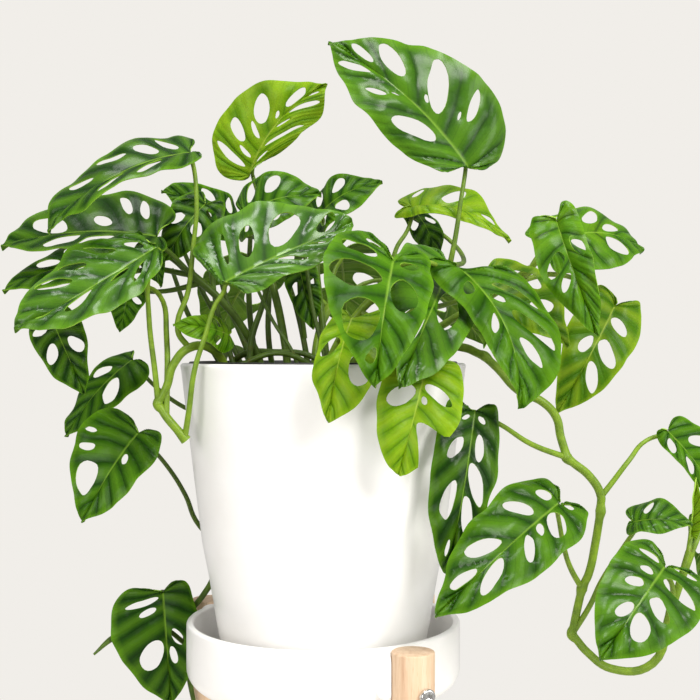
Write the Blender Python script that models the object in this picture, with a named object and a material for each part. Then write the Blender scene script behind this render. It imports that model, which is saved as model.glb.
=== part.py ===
# Swiss cheese vine (Monstera adansonii) in a glazed pot, which stands in a round tray on three dowel legs.
# Lengths are millimetres in the tables below and metres in the scene. +Z is up, the front is -Y.
# Leaves and stems are placed from the pot's own axis. The outline of the whole is centred on the origin.

import math
from dataclasses import dataclass, field

import bmesh
import bpy
from mathutils import Matrix, Vector, geometry

MM = 0.001
POT_AXIS = (-19.6, -9.3)  # puts the middle of the whole outline over the origin
GAP = 0.3  # clearance between pieces that touch

# Holder
RIM_RADIUS = 71.0
RIM_TOP = 277.5
POT_WALL = 4.0
TRAY_RADIUS = 68.0
TRAY_TOP = 150.0
TRAY_HEIGHT = 32.0
TRAY_WALL = 3.5
TRAY_EDGE_RADIUS = 10.0
TRAY_BOTTOM = TRAY_TOP - TRAY_HEIGHT
POT_BOTTOM = TRAY_BOTTOM + TRAY_WALL + GAP
LEG_DIAMETER = 19.4
LEG_RING = 78.0  # the legs' axes stand on a circle of this radius
LEG_ANGLES = {"right_front": 32.0, "right_back": 140.0, "left_back": 233.0}  # from the front, towards +X
PAD_WIDTH = 26.0
PAD_HEIGHT = 22.0
PAD_OUT = 7.0
BOLT_BELOW_TOP = 18.0
BOLT_SHANK = 4.0
BOLT_HEAD = 7.6
BOLT_HEAD_OUT = 2.2
LINER_WALL = 1.4
LINER_RIM_RADIUS = RIM_RADIUS - POT_WALL - 0.6
LINER_TOP = RIM_TOP + 1.2
SOIL_TOP = 263.0
SOIL_HOLE_DEPTH = 10.0
ROUND_STEPS = 32

# The pot's outer wall, as (height over the floor, radius), from the rim down
POT_SIDE = [
    (RIM_TOP, RIM_RADIUS), (234.0, 65.8), (189.0, 60.3), (164.0, 55.6), (147.0, 52.8), (133.0, 49.6),
    (125.0, 46.4),
]

# Leaves
BLADE = 0.8  # thickness
STALK_BASE = 1.6  # radius of a leaf stalk where it leaves the vine
STALK_TIP = 1.15
# Half of a leaf's margin from the stalk round the lobe to the tip: (across / half width, along / length)
HALF_MARGIN = [
    (0.00, 0.00), (0.30, -0.09), (0.66, -0.11), (0.93, 0.03), (1.00, 0.22),
    (0.94, 0.43), (0.74, 0.64), (0.43, 0.82), (0.15, 0.94), (0.00, 1.00),
]
LOBE_END = 0.3  # share of the margin whose veins all start at the stalk


@dataclass
class Leaf:
    base: tuple  # where the stalk meets the blade
    tip: tuple
    face: tuple  # about the way the upper side looks
    half: tuple  # half widths, left and right of the midrib with the tip up
    vine: str
    stalk: list  # from the vine's own line towards the base
    arch: float = 5.0  # the midrib's rise over the chord, towards the face
    bow: float = 0.0  # the midrib's sideways bend, towards the right
    fold: tuple = (12.0, 12.0)  # degrees that each half rises from the midrib
    curl: float = 3.0  # how far the edges bend back
    twist: float = 0.0  # degrees of turn from base to tip
    wave: float = 1.2
    lobe: tuple = (1.0, 1.0)  # how far each lobe reaches back past the stalk, under 0 for a wedge
    full: tuple = (1.0, 1.0)  # under 1, that half keeps its width nearer to its ends
    left: list = field(default_factory=list)  # holes: (place along, place across, half length, half width)
    right: list = field(default_factory=list)
    notch: list = field(default_factory=list)  # tears: (side, place along, half width, place across)


def wide(*places):
    """Oval holes of the usual size at the given places along the margin."""
    return [(t, 0.56, 0.27, 0.038) for t in places]


# (x, y, height, radius) along each vine. The first point gives its place in the soil.
VINES = {
    "vine_left": [
        (-46, -20, 272, 2.0), (-52, -29, 284, 2.0), (-62, -39, 285, 2.1), (-69, -42, 277, 2.0),
        (-72, -42, 267, 2.0), (-76, -42, 259, 2.7), (-72, -43, 253, 2.0), (-67, -43, 247, 2.0),
        (-63, -42, 242, 2.6),
    ],
    "vine_trailing": [
        (-38, 36, 272, 1.8), (-46, 48, 284, 1.8), (-55, 59, 282, 1.8), (-57, 61, 268, 1.8),
        (-55, 57, 240, 1.9), (-55, 48, 205, 1.8), (-57, 38, 182, 1.9), (-58, 29, 166, 1.6),
        (-64, 31, 155, 1.6), (-72, 35, 145, 1.9), (-74, 36, 128, 1.6), (-72, 36, 110, 1.5),
        (-69, 36, 94, 1.1),
    ],
    "vine_right": [
        (34, -8, 272, 2.0), (50, -14, 285, 2.0), (69, -20, 285, 2.1), (78, -24, 281, 2.5),
        (84, -27, 275, 2.0), (93, -30, 265, 2.0), (105, -32, 259, 2.0), (111, -32, 252, 2.0),
        (113, -32, 243, 2.0), (116, -32, 233, 2.7), (127, -31, 224, 2.0), (133, -28, 214, 2.1),
        (133, -27, 207, 2.6), (131, -25, 192, 2.0), (128, -23, 176, 2.0), (125, -22, 169, 2.7),
        (123, -20, 158, 2.0), (121, -18, 146, 2.7), (127, -22, 139, 2.0), (138, -28, 132, 2.0),
        (156, -34, 136, 2.0), (165, -34, 162, 2.4), (170, -32, 175, 1.9), (175, -30, 188, 2.3),
    ],
    "vine_right_top": [
        (28, 10, 272, 1.9), (50, 6, 290, 1.9), (74, 2, 305, 1.9), (94, -3, 318, 2.0), (103, -6, 324, 2.4),
    ],
    "vine_front_right": [
        (20, -22, 272, 1.8), (36, -30, 290, 1.8), (50, -34, 304, 2.2),
    ],
    "vine_front": [
        (2, -36, 272, 1.9), (8, -42, 288, 1.9), (18, -44, 302, 1.9), (28, -44, 312, 2.2),
    ],
    "vine_inner": [
        (-18, 6, 272, 2.0), (-22, 8, 300, 2.0), (-28, 12, 325, 2.0), (-31, 14, 345, 2.4),
    ],
    "vine_left_back": [
        (-30, -2, 272, 1.9), (-40, -5, 295, 1.9), (-54, -8, 312, 1.9), (-66, -10, 322, 2.4),
    ],
    "vine_middle": [
        (2, 0, 272, 1.8), (-1, 5, 300, 1.8), (-4, 9, 326, 1.8), (-5, 10, 340, 2.1),
    ],
    "vine_top": [
        (12, 22, 272, 2.2), (36, 16, 295, 2.2), (56, 6, 314, 2.2), (64, 2, 328, 2.7),
    ],
    "vine_back": [
        (-6, 42, 272, 1.9), (-4, 48, 292, 1.9), (2, 52, 308, 2.4),
    ],
}

# A young shoot that grows off the trailing vine, as (place, radius)
BUD = [
    ((-74, 36, 128), 1.3), ((-84, 32, 137), 1.2), ((-93, 28, 141), 1.6), ((-102, 22, 139), 1.2),
    ((-110, 17, 135), 1.5), ((-118, 14, 128), 0.6),
]

LEAVES = {
    "leaf_left_top": Leaf(
        (-61, -40, 376), (-123, -62, 337), (-0.3, -0.65, 0.7), (14, 22), "vine_left",
        [(-62, -39, 285), (-67, -41, 293), (-62.5, -38, 312), (-60.5, -37, 331), (-58.5, -39, 354)],
        arch=8, lobe=(0.0, 0.5), full=(1.0, 0.75),
        left=[(0.5, 0.5, 0.25, 0.03), (0.66, 0.5, 0.25, 0.03)],
        right=[
            (0.37, 0.5, 0.25, 0.025), (0.48, 0.42, 0.2, 0.028), (0.58, 0.7, 0.22, 0.034),
            (0.74, 0.6, 0.2, 0.025),
        ],
    ),
    "leaf_left_twisted": Leaf(
        (-79, -26, 338), (-156, -18, 333), (-0.2, -0.6, 0.77), (20, 30), "vine_left_back",
        [(-66, -10, 322), (-73, -17, 330)],
        arch=6, full=(1.0, 0.75), lobe=(0.5, 0.5),
        left=wide(0.4, 0.54, 0.68),
        right=[
            (0.38, 0.6, 0.2, 0.018), (0.46, 0.62, 0.18, 0.016), (0.58, 0.27, 0.12, 0.03),
            (0.77, 0.4, 0.3, 0.04),
        ],
    ),
    "leaf_left_front": Leaf(
        (-74, -55, 331), (-132, -80, 292), (-0.15, -0.75, 0.6), (20, 24), "vine_left",
        [(-76, -42, 259), (-77, -43, 271), (-80, -44, 300), (-79, -48, 320)],
        arch=2, bow=-3, lobe=(-1.0, -0.8), full=(0.85, 0.7),
        left=[
            (0.55, 0.22, 0.15, 0.03), (0.72, 0.32, 0.25, 0.032), (0.86, 0.35, 0.22, 0.022),
            (0.42, 0.5, 0.2, 0.015),
        ],
        right=[
            (0.36, 0.3, 0.14, 0.02), (0.45, 0.6, 0.2, 0.018), (0.58, 0.72, 0.2, 0.02),
            (0.7, 0.68, 0.26, 0.03),
        ],
    ),
    "leaf_left_behind": Leaf(
        (-99, -15, 327), (-152, -25, 312), (-0.2, -0.6, 0.77), (20, 20), "vine_left",
        [(-72, -43, 253), (-73, -36, 290), (-78, -24, 310), (-92, -14, 318)],
        left=wide(0.4, 0.55, 0.7), right=wide(0.4, 0.55, 0.7),
    ),
    "leaf_left_hanging": Leaf(
        (-131, -20, 299), (-112, -30, 262), (0.1, -0.95, 0.2), (12, 13), "vine_left_back",
        [(-66, -10, 322), (-88, -4, 324), (-112, -6, 316), (-127, -12, 308)],
        left=wide(0.4, 0.6), right=wide(0.4, 0.6),
    ),
    "leaf_left_small": Leaf(
        (-94, -14, 314), (-98, -20, 293), (0.1, -0.95, 0.2), (8, 8), "vine_left_back",
        [(-60, -9, 317), (-78, -9, 313)],
        arch=2,
        left=wide(0.5), right=wide(0.5),
    ),
    "leaf_inner_left": Leaf(
        (-48.3, 21, 350.3), (-83, 8, 364), (0.1, -0.85, 0.5), (14, 14), "vine_inner",
        [(-31, 14, 345), (-39, 23, 343)],
        left=wide(0.4, 0.6), right=wide(0.4, 0.6),
    ),
    "leaf_inner_dark": Leaf(
        (-59, 0, 357), (-78, -10, 327), (0.1, -0.85, 0.5), (13, 13), "vine_left_back",
        [(-54, -8, 312), (-56, -2, 330), (-56, 2, 346)],
        left=wide(0.4, 0.6), right=wide(0.4, 0.6),
    ),
    "leaf_upright": Leaf(
        (-39, 25, 375), (2, 12, 420), (-0.1, -0.95, 0.1), (23, 18), "vine_inner",
        [(-31, 14, 345), (-33, 20, 360)],
        bow=-8, lobe=(-1.2, -3.0), full=(0.75, 0.7), arch=3,
        left=[
            (0.37, 0.5, 0.3, 0.018), (0.49, 0.56, 0.2, 0.028), (0.63, 0.55, 0.22, 0.038),
            (0.8, 0.5, 0.28, 0.035), (0.57, 0.3, 0.16, 0.012), (0.45, 0.24, 0.12, 0.014),
            (0.71, 0.22, 0.08, 0.012),
        ],
        right=[
            (0.42, 0.2, 0.12, 0.02), (0.53, 0.48, 0.34, 0.02), (0.78, 0.48, 0.34, 0.026),
            (0.67, 0.25, 0.14, 0.01), (0.9, 0.4, 0.26, 0.013),
        ],
    ),
    "leaf_glossy": Leaf(
        (-45, -52, 314), (15, -35, 342.7), (0.05, -0.7, 0.7), (35, 16), "vine_left",
        [(-63, -42, 242), (-61, -47, 256), (-58, -50, 275), (-53, -50, 291), (-49, -49, 304)],
        arch=2, lobe=(0.3, -1.0), full=(0.8, 0.6),
        left=[
            (0.4, 0.45, 0.2, 0.013), (0.52, 0.42, 0.22, 0.028), (0.68, 0.5, 0.3, 0.043),
            (0.86, 0.55, 0.33, 0.026),
        ],
        right=[(0.62, 0.42, 0.25, 0.016), (0.76, 0.42, 0.2, 0.012)],
    ),
    "leaf_inner_top": Leaf(
        (-39, 2, 352), (-1, -6, 360), (0.0, -0.75, 0.65), (22, 22), "vine_inner",
        [(-28, 12, 325), (-35, 8, 342)],
        left=wide(0.4, 0.6), right=wide(0.4, 0.6),
    ),
    "leaf_inner_right": Leaf(
        (-3, 12, 352), (30, 4, 368), (0.0, -0.7, 0.7), (17, 18), "vine_middle",
        [(-5, 10, 340)],
        left=wide(0.4, 0.6), right=wide(0.4, 0.6),
    ),
    "leaf_front_heart": Leaf(
        (32.7, -68, 323.4), (23.9, -104, 268.1), (-0.1, -0.85, 0.5), (19, 30), "vine_front",
        [(28, -44, 312), (31, -48, 319)],
        arch=6, lobe=(0.5, 3.2), full=(0.9, 0.9),
        left=[(0.39, 0.42, 0.2, 0.02), (0.56, 0.2, 0.1, 0.025), (0.65, 0.44, 0.3, 0.035)],
        right=[
            (0.24, 0.5, 0.14, 0.028), (0.4, 0.57, 0.27, 0.03), (0.55, 0.66, 0.2, 0.043),
            (0.51, 0.28, 0.11, 0.028), (0.73, 0.45, 0.3, 0.05),
        ],
    ),
    "leaf_front_behind": Leaf(
        (60, -26, 322.8), (33.8, -88, 268.2), (0.2, -0.85, 0.4), (20, 22), "vine_front",
        [(27, -44, 310), (44, -30, 314)],
        lobe=(0.0, 1.0), full=(0.75, 1.0),
        left=[(0.62, 0.35, 0.2, 0.05)], right=[(0.74, 0.4, 0.25, 0.05), (0.47, 0.2, 0.1, 0.03)],
    ),
    "leaf_front_low_left": Leaf(
        (14, -74, 298), (4, -88, 254), (-0.2, -0.95, 0.2), (20, 11), "vine_front",
        [(8, -42, 288), (11, -60, 293)],
        full=(0.7, 0.8), lobe=(0.5, 0.5),
        left=[(0.66, 0.6, 0.25, 0.05)], right=[(0.55, 0.5, 0.3, 0.04)],
    ),
    "leaf_front_torn": Leaf(
        (47, -66, 277), (34.1, -78, 229.9), (0.1, -0.95, 0.2), (20, 18), "vine_front",
        [(18, -44, 302), (36, -52, 290), (46, -60, 283)],
        full=(0.8, 0.7), lobe=(0.5, 0.5), notch=[(-1, 0.74, 0.06, 0.2)],
        left=[(0.5, 0.42, 0.3, 0.035), (0.59, 0.14, 0.07, 0.022)], right=[(0.55, 0.46, 0.28, 0.05)],
    ),
    "leaf_front_right": Leaf(
        (63, -48, 322), (89, -66, 258), (0.25, -0.8, 0.5), (31, 13), "vine_front",
        [(28, -44, 312), (33, -54, 321), (45, -56, 324), (56, -48, 322)],
        bow=-10, lobe=(-2.0, 0.3), full=(0.8, 1.0),
        left=[
            (0.45, 0.5, 0.25, 0.02), (0.6, 0.58, 0.3, 0.034), (0.72, 0.52, 0.22, 0.022),
            (0.54, 0.16, 0.09, 0.022),
        ],
        right=[(0.46, 0.4, 0.22, 0.022), (0.64, 0.4, 0.22, 0.022)],
    ),
    "leaf_arched": Leaf(
        (79.7, -16, 316.6), (115.2, -34, 286), (0.3, -0.85, 0.35), (22, 13), "vine_front_right",
        [(50, -34, 304), (66, -16, 308)],
        left=[(0.5, 0.62, 0.16, 0.09), (0.72, 0.4, 0.25, 0.03)], right=wide(0.5),
    ),
    "leaf_wavy": Leaf(
        (45.4, 21, 357.8), (94.7, 11, 338.2), (0.1, -0.75, 0.65), (17, 8), "vine_top",
        [(36, 16, 295), (34, 18, 318), (37, 19, 336), (43, 21, 346)],
        arch=10, lobe=(1.6, 1.0),
        left=[(0.34, 0.7, 0.18, 0.03), (0.58, 0.5, 0.3, 0.035), (0.8, 0.6, 0.25, 0.03)], right=[],
    ),
    "leaf_dark_hanging": Leaf(
        (47.7, 43, 358.5), (60, 36, 329), (0.3, -0.9, 0.3), (9, 9), "vine_top",
        [(63.5, 3, 326), (73, 30, 332), (63, 50, 347)],
        left=wide(0.5), right=wide(0.5),
    ),
    "leaf_top": Leaf(
        (71, 0, 375), (4, -22, 432), (0.2, -0.95, 0.2), (25, 34), "vine_top",
        [(64, 2, 328), (66, 1, 340), (69, 1, 360)],
        arch=6, bow=5, fold=(4, 8), lobe=(-1.3, 0.0), full=(0.72, 1.0),
        left=[
            (0.53, 0.44, 0.27, 0.043), (0.71, 0.55, 0.13, 0.015), (0.84, 0.58, 0.3, 0.02),
            (0.72, 0.22, 0.06, 0.007),
        ],
        right=[
            (0.46, 0.62, 0.2, 0.02), (0.6, 0.52, 0.32, 0.036), (0.75, 0.64, 0.28, 0.028),
            (0.85, 0.6, 0.26, 0.02), (0.64, 0.24, 0.05, 0.009), (0.5, 0.36, 0.05, 0.007),
        ],
    ),
    "leaf_right_top": Leaf(
        (112, -4, 337), (163, 8, 333), (0.1, -0.6, 0.8), (22, 21), "vine_right_top",
        [(103, -6, 324), (107, -6, 331)],
        arch=9, lobe=(1.0, -0.9),
        left=[(0.42, 0.6, 0.2, 0.03), (0.6, 0.55, 0.2, 0.03), (0.73, 0.35, 0.2, 0.03)],
        right=[(0.5, 0.3, 0.18, 0.03), (0.72, 0.5, 0.3, 0.04)],
    ),
    "leaf_right_folded": Leaf(
        (110.2, -38, 344.3), (128.2, -48, 289.8), (-0.5, -0.85, 0.2), (13, 13), "vine_right_top",
        [(101, -5.5, 322), (109, -15, 333), (112, -30, 341)],
        left=wide(0.5), right=[(0.57, 0.5, 0.32, 0.03), (0.67, 0.45, 0.25, 0.02)],
    ),
    "leaf_right_yellow": Leaf(
        (146, 2, 306), (115, -8, 252), (0.1, -0.95, 0.2), (18, 17), "vine_right_top",
        [(93, -3, 317), (118, 4, 322), (142, 15, 312)],
        left=[(0.44, 0.36, 0.25, 0.03), (0.6, 0.45, 0.34, 0.03), (0.72, 0.5, 0.34, 0.03)],
        right=[(0.62, 0.34, 0.2, 0.03)],
    ),
    "leaf_low_hanging": Leaf(
        (71, -46, 256), (57, -58, 183), (0.1, -0.95, 0.1), (14, 17), "vine_right",
        [(116, -32, 233), (98, -38, 240), (82, -43, 250)],
        full=(0.9, 0.7), lobe=(0.3, 0.2),
        left=[
            (0.35, 0.28, 0.12, 0.02), (0.49, 0.33, 0.15, 0.05), (0.62, 0.45, 0.33, 0.04),
            (0.75, 0.4, 0.35, 0.04),
        ],
        right=[
            (0.35, 0.25, 0.1, 0.015), (0.49, 0.45, 0.2, 0.03), (0.69, 0.5, 0.2, 0.05),
            (0.86, 0.6, 0.15, 0.02),
        ],
    ),
    "leaf_low_front": Leaf(
        (109, -50, 213.8), (49.3, -84, 168.3), (-0.2, -0.9, 0.35), (20, 21), "vine_right",
        [(125, -22, 169), (118, -28, 181), (114, -34, 192), (111, -39, 204)],
        lobe=(0.5, 0.5),
        left=[
            (0.25, 0.3, 0.16, 0.03), (0.42, 0.36, 0.3, 0.035), (0.51, 0.2, 0.14, 0.014),
            (0.58, 0.38, 0.24, 0.018), (0.73, 0.42, 0.34, 0.035),
        ],
        right=[
            (0.34, 0.36, 0.17, 0.03), (0.48, 0.45, 0.24, 0.022), (0.68, 0.5, 0.27, 0.03),
            (0.82, 0.45, 0.28, 0.03),
        ],
    ),
    "leaf_low_right": Leaf(
        (157, -52, 185), (122, -74, 147), (-0.1, -0.9, 0.35), (25, 21), "vine_right",
        [(165, -34, 162), (163, -42, 175)],
        lobe=(0.8, 0.8),
        left=[
            (0.26, 0.5, 0.25, 0.03), (0.44, 0.5, 0.33, 0.035), (0.6, 0.42, 0.25, 0.025),
            (0.73, 0.4, 0.3, 0.04),
        ],
        right=[
            (0.33, 0.45, 0.25, 0.02), (0.45, 0.28, 0.14, 0.016), (0.55, 0.36, 0.18, 0.02),
            (0.71, 0.28, 0.22, 0.03),
        ],
    ),
    "leaf_far_right": Leaf(
        (166, -22, 245), (190, -30, 210), (0.0, -0.9, 0.4), (15, 7), "vine_right",
        [(133, -28, 214), (138, -27, 220), (147, -25, 231), (157, -18, 240)],
        lobe=(0.3, 0.3),
        left=wide(0.5), right=wide(0.4, 0.6),
    ),
    "leaf_small_arch": Leaf(
        (148, -30, 202), (172, -40, 202.1), (0.0, -0.7, 0.7), (12, 6), "vine_right",
        [(121, -18, 146), (129, -22, 161), (134, -24, 173), (145, -24, 190)],
        arch=3,
        left=wide(0.5),
    ),
    "leaf_trailing_folded": Leaf(
        (-99, 20, 279), (-130, 8, 240), (-0.4, -0.8, 0.3), (17, 12), "vine_trailing",
        [(-55, 57, 240), (-66, 46, 249), (-77, 35, 255), (-91, 28, 267)],
        lobe=(0.2, 0.6),
        left=[(0.58, 0.45, 0.32, 0.05)], right=wide(0.5),
    ),
    "leaf_trailing": Leaf(
        (-91, -8, 243), (-115, -20, 201), (-0.2, -0.95, 0.3), (17, 26), "vine_trailing",
        [(-57, 38, 182), (-67, 40, 190), (-73, 28, 208), (-79, 16, 222), (-87, 4, 235)],
        lobe=(0.5, 1.0),
        left=[(0.56, 0.2, 0.12, 0.03)],
        right=[(0.45, 0.8, 0.1, 0.015), (0.55, 0.72, 0.16, 0.018), (0.72, 0.62, 0.28, 0.07)],
    ),
    "leaf_trailing_low": Leaf(
        (-84.5, 27, 157.4), (-80.6, 29, 99.8), (0.15, -0.95, 0.25), (18, 28), "vine_trailing",
        [(-72, 35, 145), (-80, 34, 153)],
        lobe=(0.5, 0.3),
        left=[(0.6, 0.38, 0.18, 0.025), (0.71, 0.3, 0.16, 0.03)],
        right=[(0.36, 0.42, 0.28, 0.02), (0.44, 0.32, 0.14, 0.018), (0.68, 0.42, 0.28, 0.05)],
    ),
    "leaf_rolled": Leaf(
        (175, -30, 197), (176, -34, 224), (0.3, -0.95, 0.1), (4.5, 4.5), "vine_right",
        [(173.5, -30.6, 184)],
        arch=1, fold=(50, 50), curl=0, wave=0, lobe=(0.5, 0.5),
    ),
    "leaf_edge_dark": Leaf(
        (186, -12, 199), (191, -22, 160), (0.2, 0.9, 0.3), (8, 7), "vine_right",
        [(172, -31, 180), (180, -22, 191)],
        arch=3,
        left=wide(0.5), right=wide(0.5),
    ),
    "leaf_soil_small": Leaf(
        (-44, -34, 291), (-68, -48, 296), (0.0, -0.9, 0.4), (9, 8), "vine_left",
        [(-52, -29, 284), (-45, -28, 287)],
        arch=3,
        left=wide(0.5), right=wide(0.5),
    ),
    "leaf_back_left": Leaf(
        (-38, 66, 330), (-66, 106, 288), (-0.3, 0.6, 0.75), (26, 26), "vine_back",
        [(2, 52, 308), (-20, 60, 326)],
        left=wide(0.42, 0.62), right=wide(0.42, 0.62),
    ),
    "leaf_back_middle": Leaf(
        (8, 72, 338), (12, 124, 296), (0.0, 0.6, 0.8), (28, 27), "vine_back",
        [(2, 52, 308), (5, 62, 328)],
        left=wide(0.42, 0.62), right=wide(0.42, 0.62),
    ),
    "leaf_back_right": Leaf(
        (50, 62, 322), (92, 96, 286), (0.4, 0.5, 0.75), (25, 25), "vine_back",
        [(2, 52, 308), (26, 58, 322)],
        left=wide(0.42, 0.62), right=wide(0.42, 0.62),
    ),
}


def world(point):
    """A place from the tables, in metres over the origin."""
    return Vector((point[0] + POT_AXIS[0], point[1] + POT_AXIS[1], point[2])) * MM


def material(name, colour, roughness, metallic=0.0):
    made = bpy.data.materials.new(name)
    made.use_nodes = True
    shader = made.node_tree.nodes["Principled BSDF"]
    shader.inputs["Base Color"].default_value = (*colour, 1.0)
    shader.inputs["Roughness"].default_value = roughness
    shader.inputs["Metallic"].default_value = metallic
    return made


def clear_scene():
    for thing in list(bpy.data.objects):
        bpy.data.objects.remove(thing)


def add_object(name, mesh_data, look):
    thing = bpy.data.objects.new(name, mesh_data)
    thing.data.materials.append(look)
    bpy.context.scene.collection.objects.link(thing)
    return thing


def object_from(name, shape, look):
    """An object from a bmesh whose faces are turned outwards."""
    bmesh.ops.recalc_face_normals(shape, faces=shape.faces)
    data = bpy.data.meshes.new(name)
    shape.to_mesh(data)
    shape.free()
    return add_object(name, data, look)


def turned(name, profile, look, steps=ROUND_STEPS):
    """A solid of revolution round the pot's axis from (radius, height) points in millimetres."""
    shape = bmesh.new()
    corners = [shape.verts.new(world((radius, 0, height))) for radius, height in profile]
    edges = [shape.edges.new(pair) for pair in zip(corners, corners[1:] + corners[:1])]
    bmesh.ops.spin(
        shape, geom=corners + edges, cent=world((0, 0, 0)), axis=(0, 0, 1),
        angle=math.tau, steps=steps, use_merge=True,
    )
    bmesh.ops.remove_doubles(shape, verts=shape.verts, dist=0.00005)
    return object_from(name, shape, look)


def cylinder(name, start, end, radius, look=None, steps=12):
    """A cylinder between two places in millimetres. Without a look it is a hidden cutter."""
    shape = bmesh.new()
    low, high = world(start), world(end)
    turn = (high - low).to_track_quat("Z", "Y").to_matrix().to_4x4()
    bmesh.ops.create_cone(
        shape, cap_ends=True, segments=steps, radius1=radius * MM, radius2=radius * MM,
        depth=(high - low).length, matrix=Matrix.Translation((low + high) / 2) @ turn,
    )
    made = object_from(name, shape, look or LOOKS["cutter"])
    made.hide_render = look is None
    made.hide_set(look is None)
    return made


def boolean(thing, other, operation):
    """Applies one Boolean to the object and removes the other one."""
    modifier = thing.modifiers.new(other.name, "BOOLEAN")
    modifier.operation = operation
    modifier.solver = "EXACT"
    modifier.object = other
    bpy.context.view_layer.update()
    evaluated = thing.evaluated_get(bpy.context.evaluated_depsgraph_get())
    result = bpy.data.meshes.new_from_object(evaluated)
    thing.modifiers.clear()
    thing.data = result
    bpy.data.objects.remove(other)


def arc(centre, radius, start, end, steps):
    """Points of an arc in a profile, angles in degrees."""
    turns = [math.radians(start + (end - start) * i / steps) for i in range(steps + 1)]
    return [(centre[0] + radius * math.cos(a), centre[1] + radius * math.sin(a)) for a in turns]


def side_radius(height):
    """The pot's outer radius at a height."""
    for (high, wide_end), (low, narrow_end) in zip(POT_SIDE, POT_SIDE[1:]):
        if height >= low:
            share = (height - low) / (high - low)
            return narrow_end + share * (wide_end - narrow_end)
    return POT_SIDE[-1][1]


def build_pot():
    outer = [(radius, height) for height, radius in POT_SIDE]
    inner = [(radius - POT_WALL, height) for height, radius in POT_SIDE[:-1]]
    foot = arc((POT_SIDE[-1][1] - 3.0, POT_BOTTOM + 3.0), 3.0, 0, -90, 2)
    floor = POT_BOTTOM + POT_WALL + 1.0
    inside_rim = RIM_RADIUS - POT_WALL
    lip = [(inside_rim, RIM_TOP - 1.0), (inside_rim + 1.2, RIM_TOP), (RIM_RADIUS - 1.2, RIM_TOP)]
    profile = (
        [(0.0, POT_BOTTOM)] + foot[::-1] + outer[:0:-1] + [(RIM_RADIUS, RIM_TOP - 1.2)]
        + lip[::-1] + inner[1:] + [(44.0, floor), (0.0, floor)]
    )
    turned("pot", profile, LOOKS["glaze"])


def build_liner():
    """The thin nursery pot inside, whose rim shows as a dark line over the white one."""
    drop = POT_WALL + 0.9
    wall = [(side_radius(h) - drop, h) for h in (270.0, 234.0, 164.0, 140.0)]
    floor = POT_BOTTOM + POT_WALL + 1.0 + GAP
    outer = [(LINER_RIM_RADIUS, LINER_TOP), *wall, (42.5, floor)]
    inner = [(radius - LINER_WALL, height) for radius, height in [(LINER_RIM_RADIUS, LINER_TOP), *wall]]
    inner.append((41.5, floor + LINER_WALL))
    profile = [(0.0, floor)] + outer[::-1] + inner + [(0.0, floor + LINER_WALL)]
    turned("nursery_pot", profile, LOOKS["liner"])


def build_soil():
    drop = POT_WALL + 0.9 + LINER_WALL + GAP
    bottom = POT_BOTTOM + POT_WALL + 1.0 + GAP + LINER_WALL + GAP
    wall = [(side_radius(h) - drop, h) for h in (SOIL_TOP - 2.0, 234.0, 164.0, 141.0)]
    crown = [(wall[0][0] - 8.0, SOIL_TOP), (0.0, SOIL_TOP)]
    profile = [(0.0, bottom), (41.0, bottom)] + wall[::-1] + crown
    soil = turned("soil", profile, LOOKS["soil"])
    for name, route in VINES.items():
        x, y, _, radius = route[0]
        hole = cylinder(
            f"cutter_{name}", (x, y, SOIL_TOP - SOIL_HOLE_DEPTH), (x, y, SOIL_TOP + 5.0),
            radius + 0.7, steps=8,
        )
        boolean(soil, hole, "DIFFERENCE")


def leg_place(angle, ring, height):
    turn = math.radians(angle)
    return (ring * math.sin(turn), -ring * math.cos(turn), height)


def build_tray():
    centre = (TRAY_RADIUS - TRAY_EDGE_RADIUS, TRAY_BOTTOM + TRAY_EDGE_RADIUS)
    corner = arc(centre, TRAY_EDGE_RADIUS, -90, 0, 4)
    inner = arc(centre, TRAY_EDGE_RADIUS - TRAY_WALL, 0, -90, 3)
    lip = [
        (TRAY_RADIUS, TRAY_TOP - 1.2), (TRAY_RADIUS - 1.2, TRAY_TOP),
        (TRAY_RADIUS - TRAY_WALL + 1.0, TRAY_TOP), (TRAY_RADIUS - TRAY_WALL, TRAY_TOP - 1.0),
    ]
    profile = [(0.0, TRAY_BOTTOM)] + corner + lip + inner + [(0.0, TRAY_BOTTOM + TRAY_WALL)]
    tray = turned("tray", profile, LOOKS["glaze"])
    for name, angle in LEG_ANGLES.items():
        boolean(tray, build_pad(name, angle), "UNION")
    for name, angle in LEG_ANGLES.items():
        seat = cylinder(
            f"cutter_seat_{name}", leg_place(angle, LEG_RING, TRAY_BOTTOM - 5.0),
            leg_place(angle, LEG_RING, TRAY_TOP + 5.0), LEG_DIAMETER / 2 + GAP + 0.1, steps=24,
        )
        boolean(tray, seat, "DIFFERENCE")
        height = TRAY_TOP - BOLT_BELOW_TOP
        hole = cylinder(
            f"cutter_bolt_{name}", leg_place(angle, TRAY_RADIUS - TRAY_WALL - 5.0, height),
            leg_place(angle, LEG_RING, height), BOLT_SHANK / 2 + GAP,
        )
        boolean(tray, hole, "DIFFERENCE")


def build_pad(name, angle):
    """The rounded boss on the tray's wall that a leg is bolted to."""
    shape = bmesh.new()
    middle = TRAY_TOP - 1.0 - PAD_HEIGHT / 2
    turn = Matrix.Rotation(math.radians(angle), 4, "Z")
    depth = PAD_OUT + TRAY_WALL - 0.6
    place = world(leg_place(angle, TRAY_RADIUS + PAD_OUT - depth / 2, middle))
    size = Matrix.Diagonal((PAD_WIDTH * MM, depth * MM, PAD_HEIGHT * MM, 1.0))
    bmesh.ops.create_cube(shape, size=1.0, matrix=Matrix.Translation(place) @ turn @ size)
    bmesh.ops.bevel(
        shape, geom=shape.edges[:], offset=4.0 * MM, segments=1, profile=0.5, affect="EDGES",
        clamp_overlap=True,
    )
    return object_from(f"pad_{name}", shape, LOOKS["glaze"])


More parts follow.
